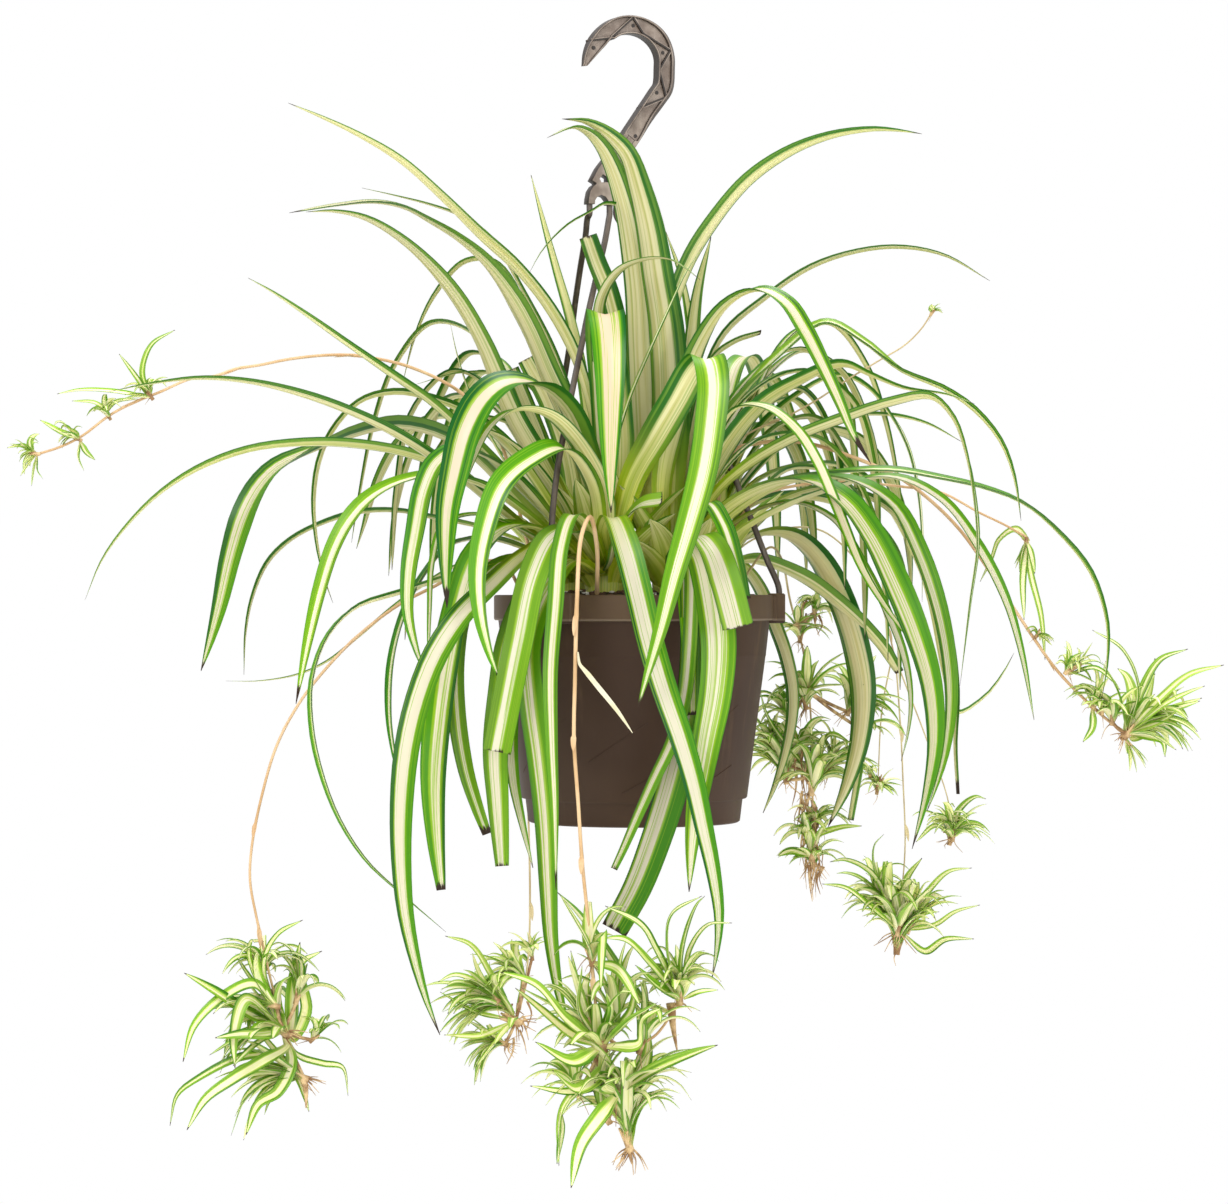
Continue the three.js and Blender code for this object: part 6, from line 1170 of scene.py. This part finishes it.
def innerEdge(index, point, normal, outer):
    # The slanted cut ends the band near the tip
    along = cutEnd - cutStart
    across = normal.cross(along).z
    toLine = (cutStart - point).cross(along).z / across if across else -99
    if (point + normal * toLine).x > cutEnd.x or index > hook["stations"] * hook["cutShare"]:
        toLine = -99
    return min(outer - 2 * hook["least"], max(-hook["half"], toLine))


rings = []
for i, (point, share, ahead) in enumerate(zip(hookCourse, hookShares, directions(hookCourse))):
    normal = Vector((-ahead.y, ahead.x, 0))
    outer = outerEdge(share)
    inner = innerEdge(i, point, normal, outer)
    e, f = hook["edge"], hook["flange"]
    t = mixed(hook["tipThick"], hook["thick"], min(1.0, share / hook["tipShare"]))
    cut = mixed(e, hook["outerCut"], eased(0.3, 0.5, share) * (1 - eased(0.7, 0.85, share)))
    closed = share > hook["closedFrom"] or outer - inner < 3.2 * f
    web = t - 0.05 if closed else min(hook["web"], t * 0.48)
    f = (outer - inner) * 0.3 if closed else f
    low, high = inner + f, outer - f - cut + e
    section = [
        (inner, -t + e), (inner + e, -t), (low - e, -t), (low, -t + e), (low, -web), (high, -web), (high, -t + e),
        (high + e, -t), (outer - cut, -t), (outer, -t + cut), (outer, t - e), (outer - e, t), (high + e, t),
        (high, t - e), (high, web), (low, web), (low, t - e), (low - e, t), (inner + e, t), (inner, t - e),
    ]
    rings.append([hookPlace(point + normal * a, b) for a, b in section])
batch = newBatch()
addTube(batch, rings)
toPiece(batch, "hangerHook", hangerPlastic, ["hanger_hook"], 35)
# Ribs in painted shadow, each with a thin raised strip of hanger plastic beside it for its lit edge; the marks are dark
# discs in the same dark plastic
ribs, ribEdges = newBatch(), newBatch()
ribTop, ribFoot = hook["thick"] - hook["ribSunk"], hook["web"] - 0.4
for start, end in zip(hookRibs, hookRibs[1:]):
    ends = (hookPoint(*start), hookPoint(*end))
    along = (ends[1] - ends[0]).normalized()
    side = Vector((-along.y, along.x, 0)) * hook["rib"]
    for low, high in ((ribFoot, ribTop), (-ribTop, -ribFoot)):
        for batch, near, far in ((ribs, -1, 1), (ribEdges, 1, hook["ribEdge"])):
            corners = ((near, low), (far, low), (far, high), (near, high))
            addTube(batch, [[hookPlace(point + side * a, b) for a, b in corners] for point in ends])
for mark in hookMarks:
    disc = [hookPoint(*mark) + level(a) * hook["mark"] for a in circle(12)]
    deep = hook["web"] + 0.3
    addTube(ribs, [[hookPlace(point, depth) for point in disc] for depth in (-deep, deep)])
toPiece(ribs, "hangerHookRibShadows", ribShadowPlastic, angle=35)
toPiece(ribEdges, "hangerHookRibEdges", hangerPlastic, angle=35)

# Barbed head under the hook, with its hole
headShape = {"extrude": 3.2, "bevel": 0.3}
headOutline = [(600, 166), (606, 158), (620, 168), (612, 186), (615, 192), (619.4, 200), (619.4, 206), (606.6, 206),
               (606.2, 202), (603.5, 198.4), (599, 196.8), (594.8, 199), (592.6, 202.6), (592.4, 206), (586.8, 206),
               (587.2, 201), (588.6, 194), (591.6, 189), (595, 186.6), (594, 185), (590.5, 183), (593, 178),
               (596.5, 171)]
headHole = [(600.5, 176), (606.5, 179.5), (606.5, 184.5), (599, 185), (597, 181)]
curve = bpy.data.curves.new("hangerHead", "CURVE")
curve.dimensions = "2D"
curve.fill_mode = "BOTH"
curve.extrude = headShape["extrude"]
curve.bevel_depth = headShape["bevel"]
curve.bevel_resolution = 1
for outline in (headOutline, headHole):
    spline = curve.splines.new("POLY")
    spline.points.add(len(outline) - 1)
    for point, place in zip(spline.points, outline):
        point.co = (*hookPoint(*place), 1)
    spline.use_cyclic_u = True
holder = linked("headHolder", curve)
headMesh = bpy.data.meshes.new_from_object(holder.evaluated_get(bpy.context.evaluated_depsgraph_get()))
bpy.data.objects.remove(holder)
for vertex in headMesh.vertices:
    vertex.co = hookPlace(vertex.co, -vertex.co.z)
headMesh.flip_normals()
headMesh.materials.clear()
headMesh.materials.append(hangerPlastic)
head = linked("hangerHead", headMesh)
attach(head, "root")

# Hanger arms: eight-sided strips from the head to the rim; angle of the lug, shift under the head, course
arms = {"half": 1.8, "deep": 1.5, "flat": 0.45, "top": (600, 206), "gap": 0.35, "seat": 90.4, "facing": (0.3, -1, 0)}
armCourses = {
    "front": (240, 6.7, [609, 218, -6, 605, 241, -11, 595.5, 281, -19, 587.5, 316, -28, 581, 348, -37,
                         566, 422, -54, 556, 480, -66, 552, 540, -76]),
    "back": (120, -7.3, [587.5, 218, -10, 585.5, 236, -4, 580, 270, 9, 575, 304, 21, 571, 336, 31,
                         558, 422, 50, 552, 490, 64, 551, 545, 75]),
    "right": (0, 11.5, [629, 236, -3, 659, 305, 2, 695, 388, 2, 728, 462, 1, 753, 524, 0, 767, 560, 0]),
}
h, d, g = arms["half"] / 1000, arms["deep"] / 1000, arms["flat"]
armSection = [(-h, -d * g), (-h * g, -d), (h * g, -d), (h, -d * g), (h, d * g), (h * g, d), (-h * g, d), (-h, d * g)]
for name, (degrees, shift, numbers) in armCourses.items():
    top = hookPlace(hookPoint(*arms["top"]) + Vector((shift, -arms["gap"], 0)))
    foot = mm(potAxis, 0, 0) + level(math.radians(degrees)) * (arms["seat"] / 1000)
    points = [top, top + mm(0, 0, -6), *frontPoints(numbers), foot + mm(0, 0, -346), foot + mm(0, 0, -357.5)]
    batch = newBatch()
    addTube(batch, tubeRings(*smoothCourse(points, 70), lambda t: armSection, Vector(arms["facing"])))
    toPiece(batch, "hangerArm_" + name, armPlastic, ["strand_" + name], 40)
print("hanger made")

# Floor, backdrop, light and camera. The backdrop shines, so that the leaves stand before pure white.
stage = {
    "floor": [(-3, -3, -0.95), (3, -3, -0.95), (3, 1.2, -0.95), (-3, 1.2, -0.95)], "floorColour": "#f4f4f2",
    "backdrop": [(-6.4, 4, -5.2), (6.4, 4, -5.2), (6.4, 4, 4.5), (-6.4, 4, 4.5)], "shine": 1.0, "world": 0.8,
}
backMaterial, add = newMaterial("white backdrop")
shine = add("Emission", {"Color": (1, 1, 1, 1), "Strength": stage["shine"]})
add("OutputMaterial", {"Surface": shine})
floorMaterial = plainMaterial("matte pale floor", stage["floorColour"], 0.8)
for name, material in (("floor", floorMaterial), ("backdrop", backMaterial)):
    mesh = bpy.data.meshes.new(name)
    mesh.from_pydata(stage[name], [], [(0, 1, 2, 3)])
    mesh.materials.append(material)
    linked(name, mesh)

world = bpy.data.worlds.new("studio")
world.use_nodes = True
background = world.node_tree.nodes["Background"].inputs
background["Color"].default_value = (1, 1, 1, 1)
background["Strength"].default_value = stage["world"]
bpy.context.scene.world = world
# Place in metres, size and power
lamps = {
    "keyLight": ((-1.2, -1.8, 1.3), 1.0, 44),
    "frontLight": ((-0.1, -2.4, -0.1), 0.5, 9),
    "fillLight": ((1.6, -1.5, 0.2), 1.3, 14),
    "topLight": ((0.3, 0.5, 1.5), 1.0, 30),
}
aim = Vector((0, 0, -0.36))
for name, (place, size, power) in lamps.items():
    light = bpy.data.lights.new(name, "AREA")
    light.size = size
    light.energy = power
    lamp = linked(name, light)
    lamp.location = place
    lamp.rotation_euler = (aim - Vector(place)).to_track_quat("-Z", "Y").to_euler()

lens = bpy.data.cameras.new("camera")
lens.sensor_fit = "HORIZONTAL"
lens.sensor_width = 36
lens.lens = lens.sensor_width * camera["distance"] / camera["width"]
eye = linked("camera", lens)
eye.location = mm(camera["x"], -camera["distance"], camera["z"])
eye.rotation_euler = (math.radians(90), 0, 0)
scene = bpy.context.scene
scene.camera = eye
scene.view_settings.view_transform = "Standard"
scene.view_settings.look = "None"

print("scene ready")
